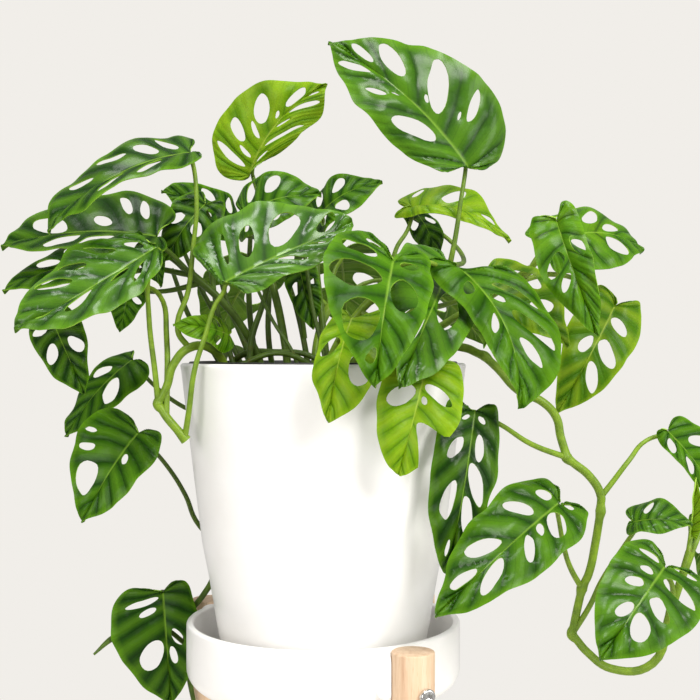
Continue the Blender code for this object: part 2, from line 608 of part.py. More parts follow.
def build_legs():
    height = TRAY_TOP - BOLT_BELOW_TOP
    for name, angle in LEG_ANGLES.items():
        leg = cylinder(
            f"leg_{name}", leg_place(angle, LEG_RING, 0.0), leg_place(angle, LEG_RING, TRAY_TOP),
            LEG_DIAMETER / 2, LOOKS["wood"], steps=24,
        )
        reach = LEG_RING + LEG_DIAMETER / 2
        hole = cylinder(
            f"cutter_leg_{name}", leg_place(angle, LEG_RING - 20.0, height),
            leg_place(angle, reach + 5.0, height),
            BOLT_SHANK / 2 + GAP,
        )
        boolean(leg, hole, "DIFFERENCE")
        bolt = cylinder(
            f"bolt_{name}", leg_place(angle, TRAY_RADIUS - TRAY_WALL + 0.8, height),
            leg_place(angle, reach + 1.0, height),
            BOLT_SHANK / 2, LOOKS["chrome"],
        )
        head = cylinder(
            f"head_{name}", leg_place(angle, reach + GAP, height),
            leg_place(angle, reach + GAP + BOLT_HEAD_OUT, height),
            BOLT_HEAD / 2, LOOKS["chrome"], steps=16,
        )
        boolean(bolt, head, "UNION")


# Leaf geometry: t runs along the margin from the stalk (0) to the tip (1),
# s from the midrib (0) to the margin (1).


def margin_point(t):
    """A smooth curve through the points of the half margin."""
    place = min(max(t, 0.0), 1.0) * (len(HALF_MARGIN) - 1)
    first = min(int(place), len(HALF_MARGIN) - 2)
    share = place - first
    knots = [HALF_MARGIN[min(max(first + i, 0), len(HALF_MARGIN) - 1)] for i in (-1, 0, 1, 2)]

    def blend(a, b, c, d):
        cubic = share * (3 * (b - c) + d - a)
        return b + 0.5 * share * (c - a + share * (2 * a - 5 * b + 4 * c - d + cubic))

    return tuple(blend(*values) for values in zip(*knots))


def flat_point(leaf, side, t, s):
    """Place on the flat blade as (across, along), both in millimetres."""
    width = leaf.half[0] if side < 0 else leaf.half[1]
    length = (Vector(leaf.tip) - Vector(leaf.base)).length
    across, along = margin_point(t)
    first = 0 if side < 0 else 1
    across = abs(across) ** leaf.full[first]
    along += (1.0 - leaf.lobe[first]) * 0.74 * t * (1.0 - t) ** 2
    root = max(0.0, (t - LOBE_END) / (1.0 - LOBE_END)) ** 1.35
    sag = 0.1 * s * (1.0 - s) * min(1.0, 4 * root) * (1.0 - t)
    return side * s * across * width, (root + s * (along - root) - sag) * length


def blade_point(leaf, side, t, s):
    """(place, normal) on the bent blade, in millimetres from the pot's axis."""
    across, along = flat_point(leaf, side, t, s)
    return bent(leaf, side, across, along, t, s)


def bent(leaf, side, across, along, t, s):
    base, tip = Vector(leaf.base), Vector(leaf.tip)
    length = (tip - base).length
    axis = (tip - base) / length
    face = Vector(leaf.face)
    face = (face - axis * face.dot(axis)).normalized()
    right = axis.cross(face)
    x = along / length
    spine = base + axis * along + (face * leaf.arch + right * leaf.bow) * (4 * x * (1 - x))
    run = (axis * length + (face * leaf.arch + right * leaf.bow) * (4 * (1 - 2 * x))).normalized()
    up = (face - run * face.dot(run)).normalized()
    up = Matrix.Rotation(math.radians(leaf.twist * x), 3, run) @ up
    out = run.cross(up)
    width = leaf.half[0] if side < 0 else leaf.half[1]
    fold = math.radians(leaf.fold[0] if side < 0 else leaf.fold[1])
    reach = abs(across) / width
    ripple = leaf.wave * s * s * math.sin(math.tau * 2.5 * t + side)
    lift = abs(across) * math.sin(fold) - leaf.curl * reach * reach + ripple
    point = spine + out * (across * math.cos(fold)) + up * lift
    slope = math.sin(fold) - 2 * leaf.curl * reach / width
    normal = (up - out * (side * slope)).normalized()
    return point, normal


def outline_of(leaf, steps):
    """The margin as (side, t, s), from the stalk round the right half to the tip and back on the left."""
    points = []
    for side in (1, -1):
        half = [(side, i / steps, 1.0) for i in range(1, steps)]
        for torn, place, reach, depth in leaf.notch:
            if torn == side:
                half = [p for p in half if abs(p[1] - place) > reach + 0.01]
                half += [(side, place - reach, 1.0), (side, place - 0.6 * reach, depth + 0.1)]
                half += [(side, place, depth), (side, place + 0.6 * reach, depth + 0.1)]
                half.append((side, place + reach, 1.0))
                half.sort(key=lambda p: p[1])
        points += half if side > 0 else half[::-1]
        if side > 0:
            points.append((1, 1.0, 1.0))
    return [(1, 0.0, 0.0)] + points


def hole_of(side, hole, count):
    t, s, reach, width = hole
    turns = [math.tau * (i + 0.5) / count for i in range(count)]
    return [(side, t + width * math.sin(a), s + reach * math.cos(a)) for a in turns]


def inside(point, ring):
    """Whether a flat point lies in a ring of flat points."""
    found = False
    for a, b in zip(ring, ring[1:] + ring[:1]):
        if (a[1] > point[1]) != (b[1] > point[1]):
            cross = a[0] + (point[1] - a[1]) / (b[1] - a[1]) * (b[0] - a[0])
            found ^= point[0] < cross
    return found


def build_leaf(name, leaf):
    """A blade of even thickness, its two faces split into the same triangles."""
    rings = [outline_of(leaf, len(HALF_MARGIN) - 1)]
    for side, holes in ((-1, leaf.left), (1, leaf.right)):
        rings += [hole_of(side, hole, 5) for hole in holes]
    midrib = [(1, LOBE_END + (1 - LOBE_END) * x, 0.0) for x in (0.3, 0.5, 0.68, 0.84)]
    places, edges, flat_rings = [], [], []
    for ring in rings:
        start = len(places)
        places += ring
        edges += [(start + i, start + (i + 1) % len(ring)) for i in range(len(ring))]
        flat_rings.append([flat_point(leaf, *p) for p in ring])
    start = len(places)
    places += midrib
    tip_index = len(HALF_MARGIN) - 1
    spine = [0, *range(start, len(places)), tip_index_of(rings[0])]
    edges += list(zip(spine, spine[1:]))
    flat = [Vector(flat_point(leaf, *p)) for p in places]
    corners, _, triangles, kept, _, _ = geometry.delaunay_2d_cdt(flat, edges, [], 0, 1e-4)
    if any(not sources for sources in kept):
        raise ValueError(f"{name}: its outline or a hole crosses another line")
    shape = bmesh.new()
    upper, lower = [], []
    for i in range(len(corners)):
        point, normal = blade_point(leaf, *places[kept[i][0]])
        upper.append(shape.verts.new(world(point + normal * (BLADE / 2))))
        lower.append(shape.verts.new(world(point - normal * (BLADE / 2))))
    ends = {}
    for corner in triangles:
        middle = sum((corners[i] for i in corner), Vector((0.0, 0.0))) / 3
        if not inside(middle, flat_rings[0]) or any(inside(middle, ring) for ring in flat_rings[1:]):
            continue
        shape.faces.new([upper[i] for i in corner])
        shape.faces.new([lower[i] for i in reversed(corner)])
        for a, b in zip(corner, corner[1:] + corner[:1]):
            ends[frozenset((a, b))] = ends.get(frozenset((a, b)), []) + [(a, b)]
    for sides in ends.values():
        if len(sides) == 1:
            a, b = sides[0]
            shape.faces.new([upper[b], upper[a], lower[a], lower[b]])
    look = LOOKS[LEAF_LOOKS.get(name, "leaf")]
    object_from(name, shape, look)


def tip_index_of(ring):
    return next(i for i, place in enumerate(ring) if place[1] == 1.0)


def stalk_end(leaf):
    """The last two places of a stalk, which meets the blade from below and nearly square on."""
    point, normal = blade_point(leaf, 1, LOBE_END + 0.12, 0.0)
    axis = (Vector(leaf.tip) - Vector(leaf.base)).normalized()
    dip = STALK_TIP * max(0.0, -math.sin(math.radians(min(leaf.fold))))
    seat = point - normal * (BLADE / 2 + 3 * GAP + dip)
    return [seat - normal * 5.0, seat]


def tube(name, route, look):
    """A six-sided rod through (place, radius) pairs, as a mesh."""
    data = bpy.data.curves.new(name, "CURVE")
    data.dimensions = "3D"
    data.bevel_depth = MM
    data.bevel_resolution = 1
    data.use_fill_caps = True
    spline = data.splines.new("POLY")
    spline.points.add(len(route) - 1)
    for corner, (place, radius) in zip(spline.points, route):
        corner.co = (*world(place), 1.0)
        corner.radius = radius
    drawn = bpy.data.objects.new(name + "_line", data)
    bpy.context.scene.collection.objects.link(drawn)
    bpy.context.view_layer.update()
    graph = bpy.context.evaluated_depsgraph_get()
    mesh_data = bpy.data.meshes.new_from_object(drawn.evaluated_get(graph))
    bpy.data.objects.remove(drawn)
    shape = bmesh.new()
    shape.from_mesh(mesh_data)
    bmesh.ops.remove_doubles(shape, verts=shape.verts, dist=0.00002)
    return object_from(name, shape, look)


def build_vines():
    for name, route in VINES.items():
        x, y, _, radius = route[0]
        root = [((x, y, SOIL_TOP - SOIL_HOLE_DEPTH + GAP), radius)]
        vine = tube(name, root + [(p[:3], p[3]) for p in route], LOOKS["stem"])
        ending = Vector(route[-1][:3])
        run = (ending - Vector(route[-2][:3])).normalized()
        inward = 2.0
        for leaf_name, leaf in LEAVES.items():
            if leaf.vine != name:
                continue
            places = [*map(Vector, leaf.stalk), *stalk_end(leaf)]
            if places[0] == ending:  # stalks that share a vine's end start at different depths in it
                places[0] = ending - run * inward
                inward += 0.7
            steps = len(places) - 1
            radii = [STALK_BASE + (STALK_TIP - STALK_BASE) * i / steps for i in range(steps + 1)]
            stalk = tube(f"stalk_{leaf_name}", list(zip(places, radii)), LOOKS["stem"])
            boolean(vine, stalk, "UNION")
        if name == "vine_trailing":
            boolean(vine, tube("bud", BUD, LOOKS["stem"]), "UNION")


LEAF_LOOKS = {
    "leaf_upright": "young_leaf", "leaf_wavy": "young_leaf", "leaf_front_low_left": "young_leaf",
    "leaf_front_torn": "young_leaf", "leaf_arched": "young_leaf", "leaf_right_yellow": "young_leaf",
}

clear_scene()
LOOKS = {
    "glaze": material("white_glaze", (0.86, 0.85, 0.83), 0.25),
    "liner": material("black_plastic", (0.012, 0.012, 0.012), 0.5),
    "soil": material("potting_soil", (0.03, 0.02, 0.014), 0.95),
    "wood": material("pale_wood", (0.72, 0.52, 0.36), 0.55),
    "chrome": material("bright_steel", (0.75, 0.75, 0.76), 0.2, 1.0),
    "leaf": material("leaf_green", (0.045, 0.19, 0.03), 0.38),
    "young_leaf": material("young_leaf_green", (0.17, 0.38, 0.035), 0.4),
    "stem": material("stem_green", (0.2, 0.36, 0.07), 0.45),
    "cutter": material("cutter", (1.0, 0.0, 0.0), 0.5),
}
build_pot()
build_liner()
build_soil()
build_tray()
build_legs()
for leaf_name, leaf_shape in LEAVES.items():
    build_leaf(leaf_name, leaf_shape)
build_vines()
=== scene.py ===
# Swiss cheese vine in a white glazed pot, which stands in a round tray on three wooden legs.
# The shapes are placed in millimetres from the pot's own axis; the scene is in metres.
import math
import random

import bmesh
import bpy
import numpy as np
from mathutils import Matrix, Vector, geometry, noise


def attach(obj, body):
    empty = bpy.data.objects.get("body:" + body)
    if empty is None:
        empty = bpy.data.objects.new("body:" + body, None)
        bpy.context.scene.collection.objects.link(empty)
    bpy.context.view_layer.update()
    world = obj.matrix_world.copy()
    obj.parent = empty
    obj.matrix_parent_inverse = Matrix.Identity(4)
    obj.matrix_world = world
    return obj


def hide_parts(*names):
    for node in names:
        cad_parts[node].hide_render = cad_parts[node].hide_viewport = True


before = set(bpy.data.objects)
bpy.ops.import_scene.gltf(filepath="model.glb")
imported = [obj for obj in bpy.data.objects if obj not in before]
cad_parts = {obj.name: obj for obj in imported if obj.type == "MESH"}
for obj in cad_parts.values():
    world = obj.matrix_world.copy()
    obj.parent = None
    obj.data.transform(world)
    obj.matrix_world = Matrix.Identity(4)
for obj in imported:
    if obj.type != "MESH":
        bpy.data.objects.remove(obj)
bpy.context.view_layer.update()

potAxis = (-19.6, -9.3)  # the pot's middle from the origin
mm = 0.001  # one millimetre, in the scene's metres
random.seed(7)

# One leaf: base is where the stalk meets the blade, face is the way the upper side looks, half is the
# half widths. look is its age from 0, old and dark, to 1, yellow-green; the swelling between veins in mm;
# and how waxy it is. arch and bow bend the midrib, fold lifts the halves in degrees, curl bends the edges
# back, lobe is how far the back lobes reach, full below 1 keeps a half wide. Holes are (place along the
# margin, place across, half length, half width) on the left and right, and notch is a tear.
usualLeaf = dict(
    arch=5.0, bow=0.0, fold=(12.0, 12.0), curl=3.0, wave=1.2, lobe=(1.0, 1.0), full=(1.0, 1.0), notch=(),
    young=False,
)


def leafShape(base, tip, face, half, look, vine, stalk, left=(), right=(), **changes):
    return {
        **usualLeaf, "base": Vector(base), "tip": Vector(tip), "face": Vector(face), "half": half,
        "look": look, "vine": vine, "stalk": stalk, "holes": {-1: left, 1: right}, **changes,
    }


def wide(*places):  # oval holes of the usual size
    return [(t, 0.56, 0.27, 0.038) for t in places]


# (x, y, height, radius) along each vine. The first point gives its place in the soil.
vineRoutes = {
    "vine_left": [
        (-46, -20, 272, 2.0), (-52, -29, 284, 2.0), (-62, -39, 285, 2.1), (-69, -42, 277, 2.0),
        (-72, -42, 267, 2.0), (-76, -42, 259, 2.7), (-72, -43, 253, 2.0), (-67, -43, 247, 2.0),
        (-63, -42, 242, 2.6),
    ],
    "vine_trailing": [
        (-38, 36, 272, 1.8), (-46, 48, 284, 1.8), (-55, 59, 282, 1.8), (-57, 61, 268, 1.8),
        (-55, 57, 240, 1.9), (-55, 48, 205, 1.8), (-57, 38, 182, 1.9), (-58, 29, 166, 1.6),
        (-64, 31, 155, 1.6), (-72, 35, 145, 1.9), (-74, 36, 128, 1.6), (-72, 36, 110, 1.5),
        (-69, 36, 94, 1.1),
    ],
    "vine_right": [
        (34, -8, 272, 2.0), (50, -14, 285, 2.0), (69, -20, 285, 2.1), (78, -24, 281, 2.5),
        (84, -27, 275, 2.0), (93, -30, 265, 2.0), (105, -32, 259, 2.0), (111, -32, 252, 2.0),
        (113, -32, 243, 2.0), (116, -32, 233, 2.7), (127, -31, 224, 2.0), (133, -28, 214, 2.1),
        (133, -27, 207, 2.6), (131, -25, 192, 2.0), (128, -23, 176, 2.0), (125, -22, 169, 2.7),
        (123, -20, 158, 2.0), (121, -18, 146, 2.7), (127, -22, 139, 2.0), (138, -28, 132, 2.0),
        (156, -34, 136, 2.0), (165, -34, 162, 2.4), (170, -32, 175, 1.9), (175, -30, 188, 2.3),
    ],
    "vine_right_top": [
        (28, 10, 272, 1.9), (50, 6, 290, 1.9), (74, 2, 305, 1.9), (94, -3, 318, 2.0), (103, -6, 324, 2.4),
    ],
    "vine_front_right": [
        (20, -22, 272, 1.8), (36, -30, 290, 1.8), (50, -34, 304, 2.2),
    ],
    "vine_front": [
        (2, -36, 272, 1.9), (8, -42, 288, 1.9), (18, -44, 302, 1.9), (28, -44, 312, 2.2),
    ],
    "vine_inner": [
        (-18, 6, 272, 2.0), (-22, 8, 300, 2.0), (-28, 12, 325, 2.0), (-31, 14, 345, 2.4),
    ],
    "vine_left_back": [
        (-30, -2, 272, 1.9), (-40, -5, 295, 1.9), (-54, -8, 312, 1.9), (-66, -10, 322, 2.4),
    ],
    "vine_middle": [
        (2, 0, 272, 1.8), (-1, 5, 300, 1.8), (-4, 9, 326, 1.8), (-5, 10, 340, 2.1),
    ],
    "vine_top": [
        (12, 22, 272, 2.2), (36, 16, 295, 2.2), (56, 6, 314, 2.2), (64, 2, 328, 2.7),
    ],
    "vine_back": [
        (-6, 42, 272, 1.9), (-4, 48, 292, 1.9), (2, 52, 308, 2.4),
    ],
}

# A young shoot that grows off the trailing vine, as (place, radius)
budRoute = [
    ((-74, 36, 128), 1.3), ((-84, 32, 137), 1.2), ((-93, 28, 141), 1.6), ((-102, 22, 139), 1.2),
    ((-110, 17, 135), 1.5), ((-118, 14, 128), 0.6),
]

leafShapes = {
    "leaf_left_top": leafShape(
        (-61, -40, 376), (-123, -62, 337), (-0.3, -0.65, 0.7), (14, 22), (0.2, 0.9, 0.3), "vine_left",
        [(-62, -39, 285), (-67, -41, 293), (-62.5, -38, 312), (-60.5, -37, 331), (-58.5, -39, 354)], arch=8,
        lobe=(0.0, 0.5), full=(1.0, 0.75),
        left=[(0.5, 0.5, 0.25, 0.03), (0.66, 0.5, 0.25, 0.03)],
        right=[(0.37, 0.5, 0.25, 0.025), (0.48, 0.42, 0.2, 0.028), (0.58, 0.7, 0.22, 0.034),
            (0.74, 0.6, 0.2, 0.025)],
    ),
    "leaf_left_twisted": leafShape(
        (-79, -26, 338), (-156, -18, 333), (-0.2, -0.6, 0.77), (20, 30), (0.2, 0.9, 0.2), "vine_left_back",
        [(-66, -10, 322), (-73, -17, 330)], arch=6, full=(1.0, 0.75), lobe=(0.5, 0.5),
        left=wide(0.4, 0.54, 0.68),
        right=[(0.38, 0.6, 0.2, 0.018), (0.46, 0.62, 0.18, 0.016), (0.58, 0.27, 0.12, 0.03),
            (0.77, 0.4, 0.3, 0.04)],
    ),
    "leaf_left_front": leafShape(
        (-74, -55, 331), (-132, -80, 292), (-0.15, -0.75, 0.6), (20, 24), (0.4, 1.5, 0.6), "vine_left",
        [(-76, -42, 259), (-77, -43, 271), (-80, -44, 300), (-79, -48, 320)], arch=2, bow=-3,
        lobe=(-1.0, -0.8), full=(0.85, 0.7),
        left=[(0.55, 0.22, 0.15, 0.03), (0.72, 0.32, 0.25, 0.032), (0.86, 0.35, 0.22, 0.022),
            (0.42, 0.5, 0.2, 0.015)],
        right=[(0.36, 0.3, 0.14, 0.02), (0.45, 0.6, 0.2, 0.018), (0.58, 0.72, 0.2, 0.02),
            (0.7, 0.68, 0.26, 0.03)],
    ),
    "leaf_left_behind": leafShape(
        (-99, -15, 327), (-152, -25, 312), (-0.2, -0.6, 0.77), (20, 20), (0.22, 0.7, 0.1), "vine_left",
        [(-72, -43, 253), (-73, -36, 290), (-78, -24, 310), (-92, -14, 318)],
        left=wide(0.4, 0.55, 0.7), right=wide(0.4, 0.55, 0.7),
    ),
    "leaf_left_hanging": leafShape(
        (-131, -20, 299), (-112, -30, 262), (0.1, -0.95, 0.2), (12, 13), (0.12, 0.6, 0.1), "vine_left_back",
        [(-66, -10, 322), (-88, -4, 324), (-112, -6, 316), (-127, -12, 308)],
        left=wide(0.4, 0.6), right=wide(0.4, 0.6),
    ),
    "leaf_left_small": leafShape(
        (-94, -14, 314), (-98, -20, 293), (0.1, -0.95, 0.2), (8, 8), (0.3, 0.4, 0.1), "vine_left_back",
        [(-60, -9, 317), (-78, -9, 313)], arch=2, left=wide(0.5), right=wide(0.5),
    ),
    "leaf_inner_left": leafShape(
        (-48.3, 21, 350.3), (-83, 8, 364), (0.1, -0.85, 0.5), (14, 14), (0.3, 0.6, 0.1), "vine_inner",
        [(-31, 14, 345), (-39, 23, 343)], left=wide(0.4, 0.6), right=wide(0.4, 0.6),
    ),
    "leaf_inner_dark": leafShape(
        (-59, 0, 357), (-78, -10, 327), (0.1, -0.85, 0.5), (13, 13), (0.12, 0.5, 0.1), "vine_left_back",
        [(-54, -8, 312), (-56, -2, 330), (-56, 2, 346)], left=wide(0.4, 0.6), right=wide(0.4, 0.6),
    ),
    "leaf_upright": leafShape(
        (-39, 25, 375), (2, 12, 420), (-0.1, -0.95, 0.1), (27, 14), (0.5, 0.7, 0.1), "vine_inner",
        [(-31, 14, 345), (-33, 20, 360)], bow=-6, lobe=(0.5, -3.0), full=(1.5, 0.75), arch=3, young=True,
        left=[(0.37, 0.5, 0.3, 0.018), (0.49, 0.56, 0.2, 0.028), (0.63, 0.55, 0.22, 0.038),
            (0.8, 0.5, 0.28, 0.035), (0.57, 0.3, 0.16, 0.012), (0.45, 0.24, 0.12, 0.014),
            (0.71, 0.22, 0.08, 0.012)],
        right=[(0.42, 0.2, 0.12, 0.02), (0.53, 0.48, 0.34, 0.02), (0.78, 0.48, 0.34, 0.026),
            (0.67, 0.25, 0.14, 0.01), (0.9, 0.4, 0.26, 0.013)],
    ),
    "leaf_glossy": leafShape(
        (-45, -52, 314), (15, -35, 342.7), (0.05, -0.7, 0.7), (35, 16), (0.45, 1.6, 0.9), "vine_left",
        [(-63, -42, 242), (-61, -47, 256), (-58, -50, 275), (-53, -50, 291), (-49, -49, 304)], arch=2,
        lobe=(0.3, -1.0), full=(0.8, 0.6),
        left=[(0.4, 0.45, 0.2, 0.013), (0.52, 0.42, 0.22, 0.028), (0.68, 0.5, 0.3, 0.043),
            (0.86, 0.55, 0.33, 0.026)],
        right=[(0.62, 0.42, 0.25, 0.016), (0.76, 0.42, 0.2, 0.012)],
    ),
    "leaf_inner_top": leafShape(
        (-39, 2, 352), (-1, -6, 360), (0.0, -0.75, 0.65), (22, 22), (0.35, 0.8, 0.25), "vine_inner",
        [(-28, 12, 325), (-35, 8, 342)], left=wide(0.4, 0.6), right=wide(0.4, 0.6),
    ),
    "leaf_inner_right": leafShape(
        (-3, 12, 352), (30, 4, 368), (0.0, -0.7, 0.7), (17, 18), (0.35, 0.6, 0.1), "vine_middle",
        [(-5, 10, 340)], left=wide(0.4, 0.6), right=wide(0.4, 0.6),
    ),
    "leaf_front_heart": leafShape(
        (32.7, -68, 323.4), (23.9, -104, 268.1), (-0.1, -0.85, 0.5), (19, 30), (0.45, 1.2, 0.08),
        "vine_front",
        [(28, -44, 312), (31, -48, 319)], arch=6, lobe=(0.5, 3.2), full=(0.9, 0.9),
        left=[(0.38, 0.42, 0.2, 0.025), (0.57, 0.42, 0.3, 0.06)],
        right=[(0.24, 0.5, 0.14, 0.026), (0.37, 0.57, 0.27, 0.034), (0.53, 0.52, 0.34, 0.048),
            (0.72, 0.5, 0.36, 0.06), (0.87, 0.45, 0.25, 0.018)],
    ),
    "leaf_front_behind": leafShape(
        (60, -26, 322.8), (33.8, -88, 268.2), (0.2, -0.85, 0.4), (21, 25), (0.5, 1.3, 0.5), "vine_front",
        [(27, -44, 310), (44, -30, 314)], lobe=(0.0, 1.0), full=(0.75, 1.0),
        left=[(0.6, 0.38, 0.26, 0.06)], right=[(0.74, 0.42, 0.3, 0.055), (0.47, 0.25, 0.12, 0.03)],
    ),
    "leaf_front_low_left": leafShape(
        (14, -74, 298), (4, -88, 254), (-0.2, -0.95, 0.2), (20, 11), (0.5, 0.6, 0.1), "vine_front",
        [(8, -42, 288), (11, -60, 293)], full=(0.7, 0.8), lobe=(0.5, 0.5), young=True,
        left=[(0.66, 0.6, 0.25, 0.05)], right=[(0.55, 0.5, 0.3, 0.04)],
    ),
    "leaf_front_torn": leafShape(
        (47, -66, 277), (34.1, -78, 229.9), (0.1, -0.95, 0.2), (20, 18), (0.55, 0.6, 0.1), "vine_front",
        [(18, -44, 302), (36, -52, 290), (46, -60, 283)], full=(0.8, 0.7), lobe=(0.5, 0.5),
        notch=[(-1, 0.73, 0.1, 0.16)], young=True,
        left=[(0.5, 0.42, 0.3, 0.035), (0.59, 0.14, 0.07, 0.022)], right=[(0.55, 0.46, 0.28, 0.05)],
    ),
    "leaf_front_right": leafShape(
        (63, -48, 322), (89, -66, 258), (0.25, -0.8, 0.5), (25, 15), (0.45, 1.3, 0.12), "vine_front",
        [(28, -44, 312), (33, -54, 321), (45, -56, 324), (56, -48, 322)], bow=-7, lobe=(-2.0, 1.4),
        full=(1.0, 0.9),
        left=[(0.45, 0.5, 0.25, 0.02), (0.6, 0.58, 0.3, 0.034), (0.72, 0.52, 0.22, 0.022),
            (0.54, 0.16, 0.09, 0.022)],
        right=[(0.46, 0.4, 0.22, 0.022), (0.64, 0.4, 0.22, 0.022)],
    ),
    "leaf_arched": leafShape(
        (79.7, -16, 316.6), (115.2, -34, 286), (0.3, -0.85, 0.35), (22, 13), (0.2, 0.7, 0.1),
        "vine_front_right",
        [(50, -34, 304), (66, -16, 308)], young=True,
        left=[(0.5, 0.62, 0.16, 0.09), (0.72, 0.4, 0.25, 0.03)], right=wide(0.5),
    ),
    "leaf_wavy": leafShape(
        (45.4, 21, 357.8), (94.7, 11, 338.2), (0.1, -0.75, 0.65), (17, 8), (0.55, 0.7, 0.3), "vine_top",
        [(36, 16, 295), (34, 18, 318), (37, 19, 336), (43, 21, 346)], arch=10, lobe=(1.6, 1.0), young=True,
        left=[(0.34, 0.7, 0.18, 0.03), (0.58, 0.5, 0.3, 0.035), (0.8, 0.6, 0.25, 0.03)],
    ),
    "leaf_dark_hanging": leafShape(
        (47.7, 43, 358.5), (60, 36, 329), (0.3, -0.9, 0.3), (9, 9), (0.1, 0.4, 0.1), "vine_top",
        [(63.5, 3, 326), (73, 30, 332), (63, 50, 347)], left=wide(0.5), right=wide(0.5),
    ),
    "leaf_top": leafShape(
        (72.5, 0, 375), (3, -22, 432.5), (0.2, -0.95, 0.2), (22, 35), (0.5, 1.2, 0.5), "vine_top",
        [(64, 2, 328), (66, 1, 340), (69, 1, 360)], arch=6, bow=3, fold=(4, 8), lobe=(-1.3, 0.75),
        full=(0.8, 1.3), wave=2.0,
        left=[(0.53, 0.44, 0.27, 0.043), (0.71, 0.55, 0.13, 0.015), (0.84, 0.58, 0.3, 0.02),
            (0.72, 0.22, 0.06, 0.007)],
        right=[(0.46, 0.62, 0.2, 0.02), (0.6, 0.52, 0.32, 0.036), (0.75, 0.64, 0.28, 0.028),
            (0.85, 0.6, 0.26, 0.02), (0.64, 0.24, 0.05, 0.009), (0.5, 0.36, 0.05, 0.007)],
    ),
    "leaf_right_top": leafShape(
        (112, -4, 337), (163, 8, 333), (0.1, -0.6, 0.8), (22, 22), (0.6, 0.9, 0.3), "vine_right_top",
        [(103, -6, 324), (107, -6, 331)], arch=9, lobe=(1.0, 0.4), fold=(12.0, -16.0),
        left=[(0.42, 0.6, 0.2, 0.03), (0.6, 0.55, 0.2, 0.03), (0.73, 0.35, 0.2, 0.03)],
        right=[(0.5, 0.3, 0.18, 0.03), (0.72, 0.5, 0.3, 0.04)],
    ),
    "leaf_right_folded": leafShape(
        (110.2, -38, 344.3), (128.2, -48, 289.8), (-0.4, -0.9, 0.2), (12, 15), (0.6, 0.9, 0.25),
        "vine_right_top",
        [(101, -5.5, 322), (109, -15, 333), (112, -30, 341)], fold=(22.0, 20.0), wave=2.0,
        left=wide(0.5), right=[(0.57, 0.5, 0.32, 0.03), (0.67, 0.45, 0.25, 0.02)],
    ),
    "leaf_right_yellow": leafShape(
        (146, 2, 306), (115, -8, 252), (0.1, -0.95, 0.2), (18, 17), (0.18, 0.7, 0.1), "vine_right_top",
        [(93, -3, 317), (118, 4, 322), (142, 15, 312)], young=True,
        left=[(0.44, 0.36, 0.25, 0.03), (0.6, 0.45, 0.34, 0.03), (0.72, 0.5, 0.34, 0.03)],
        right=[(0.62, 0.34, 0.2, 0.03)],
    ),
    "leaf_low_hanging": leafShape(
        (71, -46, 256), (57, -58, 183), (0.1, -0.95, 0.1), (14, 17), (0.2, 1.1, 0.2), "vine_right",
        [(116, -32, 233), (98, -38, 240), (82, -43, 250)], full=(0.9, 0.7), lobe=(0.3, 0.2),
        left=[(0.35, 0.28, 0.12, 0.02), (0.49, 0.33, 0.15, 0.05), (0.62, 0.45, 0.33, 0.04),
            (0.75, 0.4, 0.35, 0.04)],
        right=[(0.35, 0.25, 0.1, 0.015), (0.49, 0.45, 0.2, 0.03), (0.69, 0.5, 0.2, 0.05),
            (0.86, 0.6, 0.15, 0.02)],
    ),
    "leaf_low_front": leafShape(
        (109, -50, 213.8), (49.3, -84, 168.3), (-0.2, -0.9, 0.35), (20, 21), (0.42, 1.5, 0.25), "vine_right",
        [(125, -22, 169), (118, -28, 181), (114, -34, 192), (111, -39, 204)], lobe=(0.5, 0.5),
        left=[(0.25, 0.3, 0.16, 0.03), (0.42, 0.36, 0.3, 0.035), (0.51, 0.2, 0.14, 0.014),
            (0.58, 0.38, 0.24, 0.018), (0.73, 0.42, 0.34, 0.035)],
        right=[(0.34, 0.36, 0.17, 0.03), (0.48, 0.45, 0.24, 0.022), (0.68, 0.5, 0.27, 0.03),
            (0.82, 0.45, 0.28, 0.03)],
    ),
    "leaf_low_right": leafShape(
        (157, -52, 185), (122, -74, 147), (-0.1, -0.9, 0.35), (25, 21), (0.44, 1.5, 0.4), "vine_right",
        [(165, -34, 162), (163, -42, 175)], lobe=(0.8, 0.8),
        left=[(0.26, 0.5, 0.25, 0.03), (0.44, 0.5, 0.33, 0.035), (0.6, 0.42, 0.25, 0.025),
            (0.73, 0.4, 0.3, 0.04)],
        right=[(0.33, 0.45, 0.25, 0.02), (0.45, 0.28, 0.14, 0.016), (0.55, 0.36, 0.18, 0.02),
            (0.71, 0.28, 0.22, 0.03)],
    ),
    "leaf_far_right": leafShape(
        (166, -22, 245), (190, -30, 210), (0.0, -0.9, 0.4), (15, 7), (0.45, 0.6, 0.1), "vine_right",
        [(133, -28, 214), (138, -27, 220), (147, -25, 231), (157, -18, 240)], lobe=(0.3, 0.3),
        left=wide(0.5), right=wide(0.4, 0.6),
    ),
    "leaf_small_arch": leafShape(
        (148, -30, 202), (172, -40, 202.1), (0.0, -0.7, 0.7), (13, 8), (0.45, 0.4, 0.5), "vine_right",
        [(121, -18, 146), (129, -22, 161), (134, -24, 173), (145, -24, 190)], arch=3, left=wide(0.5),
    ),
    "leaf_trailing_folded": leafShape(
        (-99, 20, 279), (-130, 8, 240), (-0.4, -0.8, 0.3), (17, 12), (0.3, 0.6, 0.1), "vine_trailing",
        [(-55, 57, 240), (-66, 46, 249), (-77, 35, 255), (-91, 28, 267)], lobe=(0.2, 0.6),
        left=[(0.58, 0.45, 0.32, 0.05)], right=wide(0.5),
    ),
    "leaf_trailing": leafShape(
        (-91, -8, 243), (-115, -20, 201), (-0.2, -0.95, 0.3), (17, 26), (0.4, 0.9, 0.2), "vine_trailing",
        [(-57, 38, 182), (-67, 40, 190), (-73, 28, 208), (-79, 16, 222), (-87, 4, 235)], lobe=(0.5, 1.0),
        left=[(0.56, 0.2, 0.12, 0.03)],
